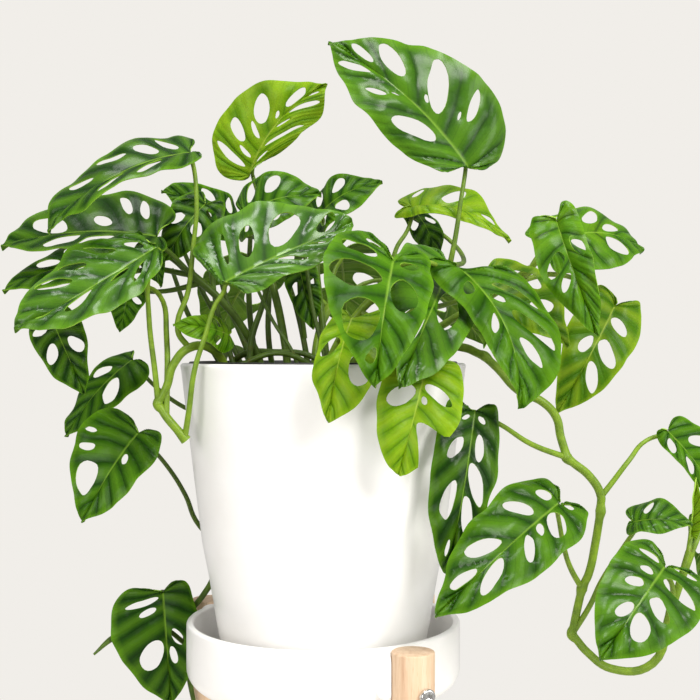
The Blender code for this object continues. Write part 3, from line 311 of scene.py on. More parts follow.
        right=[(0.45, 0.8, 0.1, 0.015), (0.55, 0.72, 0.16, 0.018), (0.72, 0.62, 0.28, 0.07)],
    ),
    "leaf_trailing_low": leafShape(
        (-84.5, 27, 157.4), (-80.6, 29, 99.8), (0.15, -0.95, 0.25), (18, 28), (0.25, 0.8, 0.1),
        "vine_trailing",
        [(-72, 35, 145), (-80, 34, 153)], lobe=(0.5, 0.3),
        left=[(0.6, 0.38, 0.18, 0.025), (0.71, 0.3, 0.16, 0.03)],
        right=[(0.36, 0.42, 0.28, 0.02), (0.44, 0.32, 0.14, 0.018), (0.68, 0.42, 0.28, 0.05)],
    ),
    "leaf_rolled": leafShape(
        (175, -30, 197), (176, -34, 224), (0.3, -0.95, 0.1), (4.5, 4.5), (0.9, 0.05, 0.1), "vine_right",
        [(173.5, -30.6, 184)], arch=1, fold=(50, 50), curl=0, wave=0, lobe=(0.5, 0.5),
    ),
    "leaf_edge_dark": leafShape(
        (186, -12, 199), (191, -22, 160), (0.2, 0.9, 0.3), (8, 7), (0.1, 0.4, 0.1), "vine_right",
        [(172, -31, 180), (180, -22, 191)], arch=3, left=wide(0.5), right=wide(0.5),
    ),
    "leaf_soil_small": leafShape(
        (-44, -34, 291), (-68, -48, 296), (0.0, -0.9, 0.4), (9, 8), (0.7, 0.3, 0.1), "vine_left",
        [(-52, -29, 284), (-45, -28, 287)], arch=3, left=wide(0.5), right=wide(0.5),
    ),
    "leaf_back_left": leafShape(
        (-38, 66, 330), (-66, 106, 288), (-0.3, 0.6, 0.75), (26, 26), (0.4, 0.9, 0.1), "vine_back",
        [(2, 52, 308), (-20, 60, 326)], left=wide(0.42, 0.62), right=wide(0.42, 0.62),
    ),
    "leaf_back_middle": leafShape(
        (8, 72, 338), (12, 124, 296), (0.0, 0.6, 0.8), (28, 27), (0.45, 0.9, 0.1), "vine_back",
        [(2, 52, 308), (5, 62, 328)], left=wide(0.42, 0.62), right=wide(0.42, 0.62),
    ),
    "leaf_back_right": leafShape(
        (50, 62, 322), (92, 96, 286), (0.4, 0.5, 0.75), (25, 25), (0.4, 0.9, 0.1), "vine_back",
        [(2, 52, 308), (26, 58, 322)], left=wide(0.42, 0.62), right=wide(0.42, 0.62),
    ),
}

# Thin stems and small leaves that only close up the dark middle of the plant; their dark tone is partly
# painted shade
fillerStems = [
    [(-44, 10, 260, 1.5), (-58, 14, 285, 1.4), (-68, 18, 298, 1.4), (-79, 20, 326, 1.1)],
    [(-36, 24, 260, 1.5), (-50, 26, 290, 1.4), (-66, 30, 318, 1.3), (-76, 30, 340, 1.1)],
    [(-40, -4, 260, 1.4), (-46, -1, 280, 1.4), (-53, 2, 302, 1.3), (-57, 4, 324, 1.0)],
    [(-30, 12, 260, 1.6), (-41, 14, 288, 1.5), (-50, 18, 309, 1.4), (-56, 20, 330, 1.2)],
    [(-34, -10, 260, 1.7), (-36, -8, 285, 1.6), (-29, -6, 310, 1.4), (-24, -4, 335, 1.1)],
    [(-8, -24, 260, 1.0), (-14, -22, 282, 0.9), (-24, -20, 298, 0.9), (-32, -16, 314, 0.8)],
    [(-6, 10, 260, 1.6), (-10, 12, 287, 1.5), (-15, 15, 308, 1.3), (-20, 16, 324, 1.1)],
    [(-32, 30, 260, 1.7), (-38, 30, 290, 1.6), (-40, 30, 317, 1.5), (-39, 29, 345, 1.2)],
    [(-24, 20, 260, 1.6), (-29, 22, 290, 1.5), (-29, 24, 324, 1.3), (-33, 22, 350, 1.0)],
    [(4, -14, 260, 1.3), (1, -12, 280, 1.2), (-5, -9, 304, 1.1), (-9, -6, 330, 1.0)],
    [(-52, 6, 268, 1.5), (-42, 2, 281, 1.6), (-24, -4, 283, 1.5), (-4, -10, 280, 1.4), (8, -16, 266, 1.2)],
    [(-48, -26, 268, 1.3), (-34, -30, 279, 1.4), (-16, -33, 282, 1.3), (4, -30, 268, 1.2)],
    [(16, 6, 260, 1.6), (22, 6, 290, 1.5), (36, 4, 314, 1.3), (50, 2, 330, 1.1)],
    [(24, 20, 260, 1.6), (30, 22, 290, 1.5), (33, 24, 308, 1.3), (32, 26, 320, 1.0)],
]
fillerLeaves = {
    "filler_middle": leafShape(
        (-12, 2, 325), (-4, -8, 294), (-0.1, -0.95, 0.2), (9, 8), (0.15, 0.5, 0.1), "fillers",
        [(-10, 12, 290), (-12, 8, 310)], arch=3, left=wide(0.5), right=wide(0.55),
    ),
    "filler_left": leafShape(
        (-88, -6, 336), (-79, -14, 315), (0.2, -0.95, 0.2), (7, 7), (0.3, 0.4, 0.1), "fillers",
        [(-66, 30, 318), (-80, 8, 332)], arch=2, left=wide(0.55),
    ),
}


def place(point):  # millimetres from the pot's axis, to metres in the frame
    return Vector((point[0] + potAxis[0], point[1] + potAxis[1], point[2])) * mm


def linear(hexColour):  # "#rrggbb" as seen, to linear red, green, blue and alpha
    parts = [int(hexColour[i:i + 2], 16) / 255 for i in (1, 3, 5)]
    return (*[c / 12.92 if c <= 0.04045 else ((c + 0.055) / 1.055) ** 2.4 for c in parts], 1.0)


def between(a, b, c, d, share):  # a smooth curve through four points, from b at 0 to c at 1
    bent = 2 * a - 5 * b + 4 * c - d + share * (3 * (b - c) + d - a)
    return b + 0.5 * share * (c - a + share * bent)


def deselectAll():
    if bpy.context.mode != "OBJECT":
        bpy.ops.object.mode_set(mode="OBJECT")
    bpy.ops.object.select_all(action="DESELECT")


def makeActive(piece):
    deselectAll()
    piece.select_set(True)
    bpy.context.view_layer.objects.active = piece


def newObject(name, data):
    piece = bpy.data.objects.new(name, data)
    bpy.context.scene.collection.objects.link(piece)
    return piece


def addCylinder(vertices, radius, depth, middle, rotation=(0, 0, 0)):  # sizes in mm
    deselectAll()
    bpy.ops.mesh.primitive_cylinder_add(
        vertices=vertices, radius=radius * mm, depth=depth * mm, location=place(middle), rotation=rotation,
    )
    return bpy.context.active_object


def applyPlace(piece):  # the object goes to the origin, its place into the mesh
    makeActive(piece)
    bpy.ops.object.transform_apply(location=True, rotation=True, scale=True)


def applyModifier(piece, kind, **settings):
    makeActive(piece)
    modifier = piece.modifiers.new(kind.title(), kind)
    for setting, value in settings.items():
        setattr(modifier, setting, value)
    bpy.ops.object.modifier_apply(modifier=modifier.name)


def cutAway(piece, cutter):
    applyModifier(piece, "BOOLEAN", operation="DIFFERENCE", solver="EXACT", object=cutter)
    bpy.data.objects.remove(cutter)


def joinInto(piece, others):
    makeActive(piece)
    for other in others:
        other.select_set(True)
    bpy.ops.object.join()


def startEdit(piece):  # edit mode with everything selected
    makeActive(piece)
    bpy.ops.object.mode_set(mode="EDIT")
    bpy.ops.mesh.select_all(action="SELECT")


def smooth(piece, degrees):
    makeActive(piece)
    bpy.ops.object.shade_smooth_by_angle(angle=math.radians(degrees))


def coat(piece, material, degrees):  # its material, and smooth shading up to an angle between faces
    deselectAll()
    piece.data.materials.append(material)
    smooth(piece, degrees)


def setNumbers(mesh, name, values):  # one number a vertex, for the materials
    mesh.attributes.new(name, "FLOAT", "POINT").data.foreach_set("value", values)


def addToFrame(piece, node):
    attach(piece, "root")
    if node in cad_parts:
        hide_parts(node)


def addNode(tree, kind, inputs=None, stops=(), **settings):
    made = tree.nodes.new("ShaderNode" + kind)
    for setting, value in settings.items():
        setattr(made, setting, value)
    for socket, value in (inputs or {}).items():
        if isinstance(value, bpy.types.NodeSocket):
            tree.links.new(value, made.inputs[socket])
        else:
            made.inputs[socket].default_value = value
    for i, (position, colour) in enumerate(stops):
        if i >= len(made.color_ramp.elements):
            made.color_ramp.elements.new(position)
        made.color_ramp.elements[i].position = position
        made.color_ramp.elements[i].color = linear(colour)
    return made


def reckoned(tree, operation, *values):
    return addNode(tree, "Math", dict(enumerate(values)), operation=operation).outputs[0]


def ranged(tree, value, low, high, start=0.0, end=1.0, kind="LINEAR"):
    inputs = {"Value": value, "From Min": low, "From Max": high, "To Min": start, "To Max": end}
    return addNode(tree, "MapRange", inputs, interpolation_type=kind).outputs[0]


def tinted(tree, share, stops):
    return addNode(tree, "ValToRGB", {"Fac": share}, stops).outputs[0]


def covered(tree, under, share, hexColour):  # a second colour over the first one
    return addNode(tree, "Mix", {0: share, 6: under, 7: linear(hexColour)}, data_type="RGBA").outputs[2]


def noisy(tree, spot, scale, detail=2.0, roughness=0.5):
    inputs = {"Vector": spot, "Scale": scale, "Detail": detail, "Roughness": roughness}
    return addNode(tree, "TexNoise", inputs).outputs["Fac"]


def meshNumber(tree, name):
    return addNode(tree, "Attribute", attribute_name=name).outputs["Fac"]


def newMaterial(name, **sockets):  # (material, its tree, its shader, object coordinates)
    material = bpy.data.materials.new(name)
    material.use_nodes = True
    tree = material.node_tree
    shader = tree.nodes["Principled BSDF"]
    for socket, value in sockets.items():
        shader.inputs[socket.replace("_", " ")].default_value = value
    return material, tree, shader, addNode(tree, "TexCoord").outputs["Object"]


def finishMaterial(tree, shader, colour, roughness=None, height=None, strength=0.0, depth=0.0):
    tree.links.new(colour, shader.inputs["Base Color"])
    if roughness is not None:
        tree.links.new(roughness, shader.inputs["Roughness"])
    if height is not None:
        bump = addNode(tree, "Bump", {"Strength": strength, "Distance": depth, "Height": height})
        tree.links.new(bump.outputs[0], shader.inputs["Normal"])


def leafMaterial(name, look):
    # Monstera leaf: a waxy cuticle over soft green flesh, so a broad pale sheen over a colour that
    # light shines through a little. On the upper side the side veins are dark lines, painted shade in
    # their creases, and the midrib is pale.
    material, tree, shader, spot = newMaterial(
        name, Roughness=look["roughness"], IOR=1.45, Subsurface_Weight=look["through"],
        Subsurface_Radius=(0.5, 1.0, 0.2), Subsurface_Scale=0.0015, Coat_Roughness=0.25, Coat_IOR=1.4,
        Specular_IOR_Level=look["gloss"],
    )
    axes = addNode(tree, "SeparateXYZ", {0: addNode(tree, "UVMap", uv_map="veins").outputs["UV"]})
    count, across = axes.outputs["X"], axes.outputs["Y"]  # across is 0 at the midrib, 1 at the margin
    fromVein = reckoned(tree, "PINGPONG", count, 0.5)
    # a side vein is about 1 mm wide at the midrib and thins out towards the margin
    veinShare = reckoned(tree, "DIVIDE", fromVein, reckoned(tree, "MULTIPLY_ADD", across, -0.06, 0.105))
    sideVein = ranged(tree, veinShare, 0.0, 1.0, 1.0, 0.0, "SMOOTHSTEP")
    thinVein = reckoned(tree, "MULTIPLY", sideVein, ranged(tree, across, 0.75, 0.98, 1.0, 0.0))
    midrib = ranged(tree, across, 0.0, 0.045, 1.0, 0.0, "SMOOTHSTEP")
    patches = noisy(tree, spot, 65.0, 3.0, 0.6)  # slow changes of colour, about 15 mm across
    grown = reckoned(tree, "MULTIPLY_ADD", patches, 0.6, -0.3)
    flesh = tinted(tree, reckoned(tree, "ADD", meshNumber(tree, "age"), grown), look["greens"])
    cells = addNode(  # the small net of veins, about 3 mm between threads
        tree, "TexVoronoi", {"Vector": spot, "Scale": 330.0}, feature="DISTANCE_TO_EDGE",
    )
    net = ranged(tree, cells.outputs["Distance"], 0.0, 0.12, 1.0, 0.0)
    colour = covered(tree, flesh, reckoned(tree, "MULTIPLY", net, 0.14), look["net"])
    # the swellings between veins are lighter and yellower and the grooves darker: partly the leaf's own
    # colour, partly painted highlight on the crests and painted shade in the grooves
    crest = ranged(tree, fromVein, 0.08, 0.45, 0.0, 0.26, "SMOOTHSTEP")
    colour = covered(tree, colour, crest, look["crest"])
    grooveShade = ranged(tree, fromVein, 0.0, 0.16, 0.3, 0.0, "SMOOTHSTEP")
    outward = ranged(tree, across, 0.85, 1.0, 1.0, 0.2)
    colour = covered(tree, colour, reckoned(tree, "MULTIPLY", grooveShade, outward), look["grooveShade"])
    # a paler, yellower band follows the margin
    colour = covered(tree, colour, ranged(tree, across, 0.86, 1.0, 0.0, 0.5), look["edge"])
    # two finer veins between each pair, only as lines; on the upper side these dark lines are painted shade
    # of the vein creases
    minor = ranged(tree, reckoned(tree, "PINGPONG", count, 1 / 6), 0.0, 0.028, 0.45, 0.0)
    lines = reckoned(tree, "MAXIMUM", thinVein, minor)
    colour = covered(tree, colour, reckoned(tree, "MULTIPLY", lines, look["show"]), look["line"])
    colour = covered(tree, colour, reckoned(tree, "MULTIPLY", midrib, look["rib"]), look["vein"])
    wax = reckoned(tree, "MULTIPLY", meshNumber(tree, "shine"), look["wax"])  # some leaves are waxier
    tree.links.new(wax, shader.inputs["Coat Weight"])
    pores = noisy(tree, spot, 900.0, 3.0, 0.6)
    dull = ranged(tree, pores, 0.3, 0.7, look["roughness"] - 0.05, look["roughness"] + 0.07)
    veins = reckoned(tree, "MAXIMUM", thinVein, midrib)
    grooves = reckoned(tree, "MULTIPLY_ADD", veins, look["groove"], 0.0)
    netDepth = reckoned(tree, "MULTIPLY_ADD", net, -0.12, grooves)
    height = reckoned(tree, "MULTIPLY_ADD", pores, 0.2, netDepth)
    # three pleats between two veins, so about 3 mm each, which wander a little
    bent = reckoned(tree, "MULTIPLY", patches, 9.0)
    wave = reckoned(tree, "SINE", reckoned(tree, "MULTIPLY_ADD", count, 3 * math.tau, bent))
    reach = ranged(tree, across, 0.1, 0.6, 0.0, look["pleat"])
    pleats = reckoned(tree, "MULTIPLY_ADD", wave, reach, height)
    finishMaterial(tree, shader, colour, dull, pleats, 0.6, 0.0004)
    return material


def stemMaterial():
    # Living stem: smooth, watery and slightly see-through, with corky rings at the joints.
    material, tree, shader, spot = newMaterial(
        "livingStem", IOR=1.42, Subsurface_Weight=0.25, Subsurface_Radius=(1.0, 1.3, 0.4),
        Subsurface_Scale=0.0015, Coat_Weight=0.08, Coat_Roughness=0.3, Specular_IOR_Level=0.25,
    )
    mottled = reckoned(tree, "MULTIPLY_ADD", noisy(tree, spot, 160.0, 4.0, 0.6), 0.5, -0.25)
    skin = tinted(
        tree, reckoned(tree, "ADD", meshNumber(tree, "tone"), mottled),
        [(0.0, "#2c3d12"), (0.35, "#557022"), (0.7, "#8aa92c"), (1.0, "#b2c94c")],
    )
    flecks = noisy(tree, spot, 700.0, 3.0, 0.7)
    cork = ranged(tree, reckoned(tree, "MULTIPLY", flecks, meshNumber(tree, "joint")), 0.2, 0.55, 0.0, 0.8)
    colour = covered(tree, skin, cork, "#5f4a22")
    finishMaterial(tree, shader, colour, ranged(tree, flecks, 0.0, 1.0, 0.3, 0.5), flecks, 0.35, 0.0003)
    return material


def woodMaterial():
    # Beech dowel, sanded and lightly oiled: pale pinkish wood with fine straight grain along the leg
    # and short dark pore dashes.
    material, tree, shader, spot = newMaterial(
        "sandedBeech", IOR=1.48, Coat_Weight=0.08, Coat_Roughness=0.4,
    )
    # grain runs up the leg, 18 times longer than wide
    grain = addNode(tree, "Mapping", {"Vector": spot, "Scale": (1.0, 1.0, 0.055)}).outputs[0]
    bands = noisy(tree, grain, 330.0, 5.0, 0.6)  # growth bands about 3 mm wide
    tint = tinted(tree, bands, [(0.3, "#c6a182"), (0.5, "#d6b898"), (0.7, "#e0c6aa")])
    dashes = noisy(tree, grain, 2600.0)  # pores, drawn wider than the real 0.05 mm so that they show
    colour = covered(tree, tint, ranged(tree, dashes, 0.6, 0.72, 0.0, 0.5), "#a87c56")
    finishMaterial(tree, shader, colour, ranged(tree, bands, 0.0, 1.0, 0.5, 0.68), dashes, 0.25, 0.0002)
    return material


def soilMaterial():
    # Peat potting mix: fibrous crumbs of brown peat and bark, matt, darker where damp.
    material, tree, shader, spot = newMaterial("peatMix", IOR=1.4)
    damp = noisy(tree, spot, 60.0, 3.0, 0.6)
    crumbs = noisy(tree, spot, 520.0, 5.0, 0.7)  # crumbs about 2 mm across
    tint = tinted(
        tree, reckoned(tree, "MULTIPLY", damp, crumbs),
        [(0.12, "#1c130d"), (0.26, "#38271a"), (0.42, "#5d4630")],
    )
    finishMaterial(tree, shader, tint, ranged(tree, damp, 0.0, 1.0, 0.75, 1.0), crumbs, 0.8, 0.0012)
    return material


def plainMaterial(name, look, **sockets):  # two tints in a noise, which also sets how dull it is
    material, tree, shader, spot = newMaterial(name, **sockets)
    mottle = noisy(tree, spot, *look["mottle"])
    dull = ranged(tree, mottle, 0.0, 1.0, *look["dull"]) if "dull" in look else None
    relief = noisy(tree, spot, *look["relief"]) if "relief" in look else None
    tint = tinted(tree, mottle, list(zip((0.3, 0.7), look["tints"])))
    finishMaterial(tree, shader, tint, dull, relief, *look.get("bump", ()))
    return material


# On the upper sides the crest colour is partly painted highlight, and the groove and dark line colours are
# partly painted shade.
matureTop = leafMaterial("waxyMatureLeaf", dict(
    roughness=0.4, gloss=0.07, through=0.06, wax=1.0, show=0.5, rib=0.4, groove=-0.8, pleat=0.55,
    vein="#8fb83c", net="#173c03", edge="#5f9010", grooveShade="#0f2c02", line="#0f2e02", crest="#6c9e1c",
    greens=[(0.0, "#0f2902"), (0.3, "#1c4203"), (0.6, "#386504"), (1.0, "#7a9a10")],
))
youngTop = leafMaterial("softYoungLeaf", dict(
    roughness=0.43, gloss=0.1, through=0.12, wax=0.7, show=0.35, rib=0.4, groove=-0.7, pleat=0.4,
    vein="#b4c84a", net="#456d06", edge="#86a818", grooveShade="#456e04", line="#345c02", crest="#a4bc28",
    greens=[(0.0, "#2a5203"), (0.3, "#446e04"), (0.6, "#668e08"), (1.0, "#9cb81a")],
))
leafBack = leafMaterial("mattLeafBack", dict(
    roughness=0.52, gloss=0.12, through=0.1, wax=0.0, show=0.35, rib=0.7, groove=1.2, pleat=0.4,
    vein="#96b04c", net="#34580f", edge="#406410", grooveShade="#2c4e0a", line="#a6bc6c", crest="#7a9c30",
    greens=[(0.0, "#2c4c0c"), (0.3, "#3d6210"), (0.6, "#587e16"), (1.0, "#87a42c")],
))
# The rim is paler than the faces: partly the thin edge's own colour, partly painted highlight of the light
# caught along the edge.
leafRimHighlight = leafMaterial("thinLeafRimHighlight", dict(  # the cut thickness of the blade, pale in the light
    roughness=0.5, gloss=0.25, through=0.15, wax=0.0, show=0.0, rib=0.0, groove=0.0, pleat=0.0,
    vein="#96b04c", net="#6d9424", edge="#7fa634", grooveShade="#6d9424", line="#6d9424", crest="#a0c044",
    greens=[(0.0, "#55801a"), (0.3, "#6f9a28"), (0.6, "#8ab23a"), (1.0, "#a8c64c")],
))
livingStem = stemMaterial()
# White glazed earthenware: a clear glassy coat over a white slip, cloudy over about 30 mm, with a faint
# orange-peel ripple, about 4 mm from crest to crest
whiteGlaze = plainMaterial("whiteGlaze", dict(
    mottle=(32.0, 4.0, 0.55), tints=("#f5f3f0", "#fbfaf8"), dull=(0.26, 0.4), relief=(240.0, 2.0, 0.4),
    bump=(0.12, 0.0003),
), IOR=1.5, Coat_Weight=0.35, Coat_Roughness=0.12, Coat_IOR=1.5)
sandedBeech = woodMaterial()
# Bright nickel-plated steel screw with a soft mirror finish
nickelSteel = plainMaterial("nickelSteel", dict(
    mottle=(600.0,), tints=("#cfcecb", "#e2e1de"), dull=(0.14, 0.24),
), Metallic=1.0)
# Black polypropylene nursery pot: blow-moulded, so dull with a faint pebbled skin
blackPlastic = plainMaterial("blackPolypropylene", dict(
    mottle=(900.0,), tints=("#121212", "#1f1f1e"), dull=(0.38, 0.55), relief=(900.0,), bump=(0.3, 0.0002),
), IOR=1.49)
peatMix = soilMaterial()
# Matt painted board, very slightly uneven
paleBoard = plainMaterial("paleBoard", dict(mottle=(14.0, 3.0), tints=("#e4e1db", "#ece9e4")), Roughness=0.7)
print("materials made")

potLook = dict(
    radius=71.0, top=277.5, wall=4.0, bottom=121.8, foot=4.0, lip=1.4, innerLip=1.3,
    under=[(0.0, 1.2), (36.0, 1.2), (38.0, 0.0)],  # (radius, above the bottom) outside, then inside
    floor=[(44.0, 6.0), (41.0, 5.0), (0.0, 5.0)], floorEdge=131.0, rows=(274.0, 128.0, 26),
    side=[  # (height, radius) of the outer wall, from the rim down
        (277.5, 71.0), (234.0, 65.8), (189.0, 60.3), (164.0, 55.6), (147.0, 52.8), (133.0, 49.6),
        (125.0, 46.4),
    ],
)


def sideRadius(height):
    side = potLook["side"]
    for i in range(len(side) - 1):
        if height >= side[i + 1][0]:
            break
    share = (side[i][0] - height) / (side[i][0] - side[i + 1][0])
    a, b, c, d = [side[min(max(i + k, 0), len(side) - 1)][1] for k in (-1, 0, 1, 2)]
    return between(2 * b - c if i == 0 else a, b, c, d, share)


def arcPoints(centre, radius, start, end, steps):
    turns = [math.radians(start + (end - start) * i / steps) for i in range(steps + 1)]
    return [(centre[0] + radius * math.cos(a), centre[1] + radius * math.sin(a)) for a in turns]


def lipPoints(look):  # round over the top edge, from the outside to the inside
    radius, top, lip, inner = (look[key] for key in ("radius", "top", "lip", "innerLip"))
    over = arcPoints((radius - lip, top - lip), lip, 0, 90, 5)
    return over + arcPoints((radius - look["wall"] + inner, top - inner), inner, 90, 180, 5)


def spunPiece(name, profile, material, steps=128):  # profile: (radius, height) round a closed section
    mesh = bpy.data.meshes.new(name)
    corners = [place((radius, 0, height)) for radius, height in profile]
    mesh.from_pydata(corners, [(i, (i + 1) % len(corners)) for i in range(len(corners))], [])
    piece = newObject(name, mesh)
    startEdit(piece)
    bpy.ops.mesh.spin(
        steps=steps, angle=math.tau, center=place((0, 0, 0)), axis=(0, 0, 1), use_auto_merge=True,
    )
    bpy.ops.mesh.select_all(action="SELECT")
    bpy.ops.mesh.remove_doubles(threshold=0.00002)
    bpy.ops.mesh.normals_make_consistent(inside=False)
    coat(piece, material, 38)
    return piece


def makePot():
    look = potLook
    bottom, wall, foot = look["bottom"], look["wall"], look["foot"]
    high, low, steps = look["rows"]
    heights = [high - i * (high - low) / steps for i in range(steps + 1)]
    profile = [(radius, bottom + rise) for radius, rise in look["under"]]
    profile += arcPoints((look["side"][-1][1] - foot, bottom + foot), foot, -90, 0, 6)
    profile += [(sideRadius(h), h) for h in heights[::-1]] + lipPoints(look)
    profile += [(sideRadius(h) - wall, h) for h in heights if h > look["floorEdge"]]
    profile += [(radius, bottom + rise) for radius, rise in look["floor"]]
    addToFrame(spunPiece("glazedPot", profile, whiteGlaze), "pot")


nurseryLook = dict(
    gap=0.9, bottom=127.1, floor=1.4, wall=1.3, heights=(145.0, 164.0, 189.0, 210.0, 234.0, 255.0, 271.0),
    rim=((66.0, 277.6), 0.75, -60, 200, 8),
)


def makeNurseryPot():
    drop, bottom = potLook["wall"] + nurseryLook["gap"], nurseryLook["bottom"]
    outer = [(sideRadius(h) - drop, h) for h in nurseryLook["heights"]]
    profile = [(0.0, bottom), (40.0, bottom), (42.3, bottom + 1.5)] + outer
    profile += arcPoints(*nurseryLook["rim"])  # small and rolled
    profile += [(radius - nurseryLook["wall"], height) for radius, height in outer[::-1]]
    profile += [(40.0, bottom + nurseryLook["floor"]), (0.0, bottom + nurseryLook["floor"])]
    addToFrame(spunPiece("nurseryPot", profile, blackPlastic), "nursery_pot")


soilLook = dict(
    top=263.0, radius=61.5, floor=129.4, floorRadius=41.0, rings=34, spokes=132,
    lumps=[(420, (0.9, 2.4), 0.75), (110, (1.8, 4.2), 0.35)],  # crumbs, then chips: count, sizes, flatness
)


def soilSpot(radius, turn, fine, drop):  # on the uneven surface, which sinks towards the wall
    spot = Vector((radius * math.cos(turn), radius * math.sin(turn), 0))
    rise = 2.2 * noise.noise(spot / 18) + 1.1 * noise.noise(spot / 6) + fine * noise.noise(spot / 2.3)
    rise -= 2.0 * (radius / soilLook["radius"]) ** 4
    return place((spot.x, spot.y, soilLook["top"] - drop + rise))


def makeSoil():
    look = soilLook
    reach, floorRadius, floor = look["radius"], look["floorRadius"], look["floor"]
    shape = bmesh.new()
    turns = [math.tau * k / look["spokes"] for k in range(look["spokes"])]
    rows = [
        [shape.verts.new(soilSpot(reach * ring / look["rings"], turn, 0.6, 0.5)) for turn in turns]
        for ring in range(1, look["rings"] + 1)
    ]
    rows.append([
        shape.verts.new(place((floorRadius * math.cos(turn), floorRadius * math.sin(turn), floor)))
        for turn in turns
    ])
    middle = shape.verts.new(place((0, 0, look["top"])))
    low = shape.verts.new(place((0, 0, floor)))
    for k in range(len(turns)):
        after = (k + 1) % len(turns)
        shape.faces.new((middle, rows[0][k], rows[0][after]))
        shape.faces.new((low, rows[-1][after], rows[-1][k]))
        for inner, outer in zip(rows, rows[1:]):
            shape.faces.new((inner[k], outer[k], outer[after], inner[after]))
    for count, sizes, flat in look["lumps"]:
        for _ in range(count):
            radius = (reach - 3.0) * math.sqrt(random.random())
            turn = random.uniform(0, math.tau)
            size = random.uniform(*sizes) * mm
            matrix = Matrix.Translation(soilSpot(radius, turn, 0.0, 0.4))
            matrix @= Matrix.Rotation(random.uniform(0, math.tau), 4, Vector((
                random.uniform(-0.5, 0.5), random.uniform(-0.5, 0.5), 1.0)).normalized())
            matrix @= Matrix.Diagonal((size, size * random.uniform(0.5, 0.9), size * flat, 1.0))
            lump = bmesh.ops.create_icosphere(shape, subdivisions=1, radius=1.0, matrix=matrix)
            for corner in lump["verts"]:
                corner.co += Vector([random.uniform(-0.2, 0.2) * size for _ in range(3)])
    bmesh.ops.recalc_face_normals(shape, faces=shape.faces)
    mesh = bpy.data.meshes.new("pottingSoil")
    shape.to_mesh(mesh)
    shape.free()
    piece = newObject("pottingSoil", mesh)
    coat(piece, peatMix, 50)
    addToFrame(piece, "soil")


makePot()
makeNurseryPot()
makeSoil()
print("pot, nursery pot and soil made")

trayLook = dict(
    radius=68.0, top=150.0, height=32.0, wall=3.5, edge=10.0, lip=1.3, innerLip=1.1, foot=52.0,
    straight=12.0, padWidth=26.0, padHeight=22.0, padOut=7.0, padRound=4.5,
)
legLook = dict(
    radius=9.7, ring=78.0, bevel=0.7, seatGap=0.3,
    angles={"right_front": 32.0, "right_back": 140.0, "left_back": 233.0},
)
boltLook = dict(below=18.0, headRadius=3.8, headOut=2.2, headRound=0.8, pitRadius=2.1, shankRadius=2.0)


def legPlace(angle, ring, height):
    turn = math.radians(angle)
    return (ring * math.sin(turn), -ring * math.cos(turn), height)


def makePad(angle):  # a rounded block on the tray's wall, hollowed where the leg sits
    look = trayLook
    depth = look["padOut"] + look["wall"] - 0.6
    middle = legPlace(
        angle, look["radius"] + look["padOut"] - depth / 2, look["top"] - 1.0 - look["padHeight"] / 2,
    )
    bpy.ops.mesh.primitive_cube_add(size=1.0, location=place(middle), rotation=(0, 0, math.radians(angle)))
    pad = bpy.context.active_object
    pad.scale = (look["padWidth"] * mm, depth * mm, look["padHeight"] * mm)
    applyPlace(pad)
    startEdit(pad)
    bpy.ops.mesh.bevel(offset=look["padRound"] * mm, segments=6, profile=0.5, clamp_overlap=True)
    middle = legPlace(angle, legLook["ring"], look["top"])
    cutAway(pad, addCylinder(96, legLook["radius"] + legLook["seatGap"], 60.0, middle))
    coat(pad, whiteGlaze, 30)
    return pad


def makeTray():
    radius, top, wall, edge = (trayLook[key] for key in ("radius", "top", "wall", "edge"))
    bottom = top - trayLook["height"]
    centre = (radius - edge, bottom + edge)
    profile = [(0.0, bottom), (trayLook["foot"], bottom)] + arcPoints(centre, edge, -80, 0, 12)
    profile += [(radius, top - trayLook["straight"])] + lipPoints(trayLook)
    profile += arcPoints(centre, edge - wall, 0, -90, 10) + [(0.0, bottom + wall)]
    tray = spunPiece("glazedTray", profile, whiteGlaze, 144)
    joinInto(tray, [makePad(angle) for angle in legLook["angles"].values()])
    addToFrame(tray, "tray")


def makeLegs():
    top = trayLook["top"]
    for name, angle in legLook["angles"].items():
        leg = addCylinder(96, legLook["radius"], top, legPlace(angle, legLook["ring"], top / 2))
        leg.name = f"beechLeg_{name}"
        applyPlace(leg)
        bevelEdges(
            leg, legLook["bevel"], 4, lambda edge: abs(edge.verts[0].co.z - edge.verts[1].co.z) < 1e-6,
        )
        coat(leg, sandedBeech, 40)
        addToFrame(leg, f"leg_{name}")
        makeBolt(name, angle)


def bevelEdges(piece, width, segments, wanted):  # softens the edges that wanted picks, width in mm
    makeActive(piece)
    bpy.ops.object.mode_set(mode="EDIT")
    bpy.ops.mesh.select_mode(type="EDGE")
    bpy.ops.mesh.select_all(action="DESELECT")
    shape = bmesh.from_edit_mesh(piece.data)
    for edge in shape.edges:
        edge.select = wanted(edge)
    bmesh.update_edit_mesh(piece.data)
    bpy.ops.mesh.bevel(offset=width * mm, segments=segments, profile=0.5, clamp_overlap=True)
    bpy.ops.object.mode_set(mode="OBJECT")


def boltRod(angle, vertices, radius, start, end):  # a cylinder on the bolt's own line
    turn = Matrix.Rotation(math.radians(angle), 3, "Z") @ Matrix.Rotation(math.radians(90), 3, "X")
    middle = legPlace(angle, (start + end) / 2, trayLook["top"] - boltLook["below"])
    return addCylinder(vertices, radius, end - start, middle, turn.to_euler())


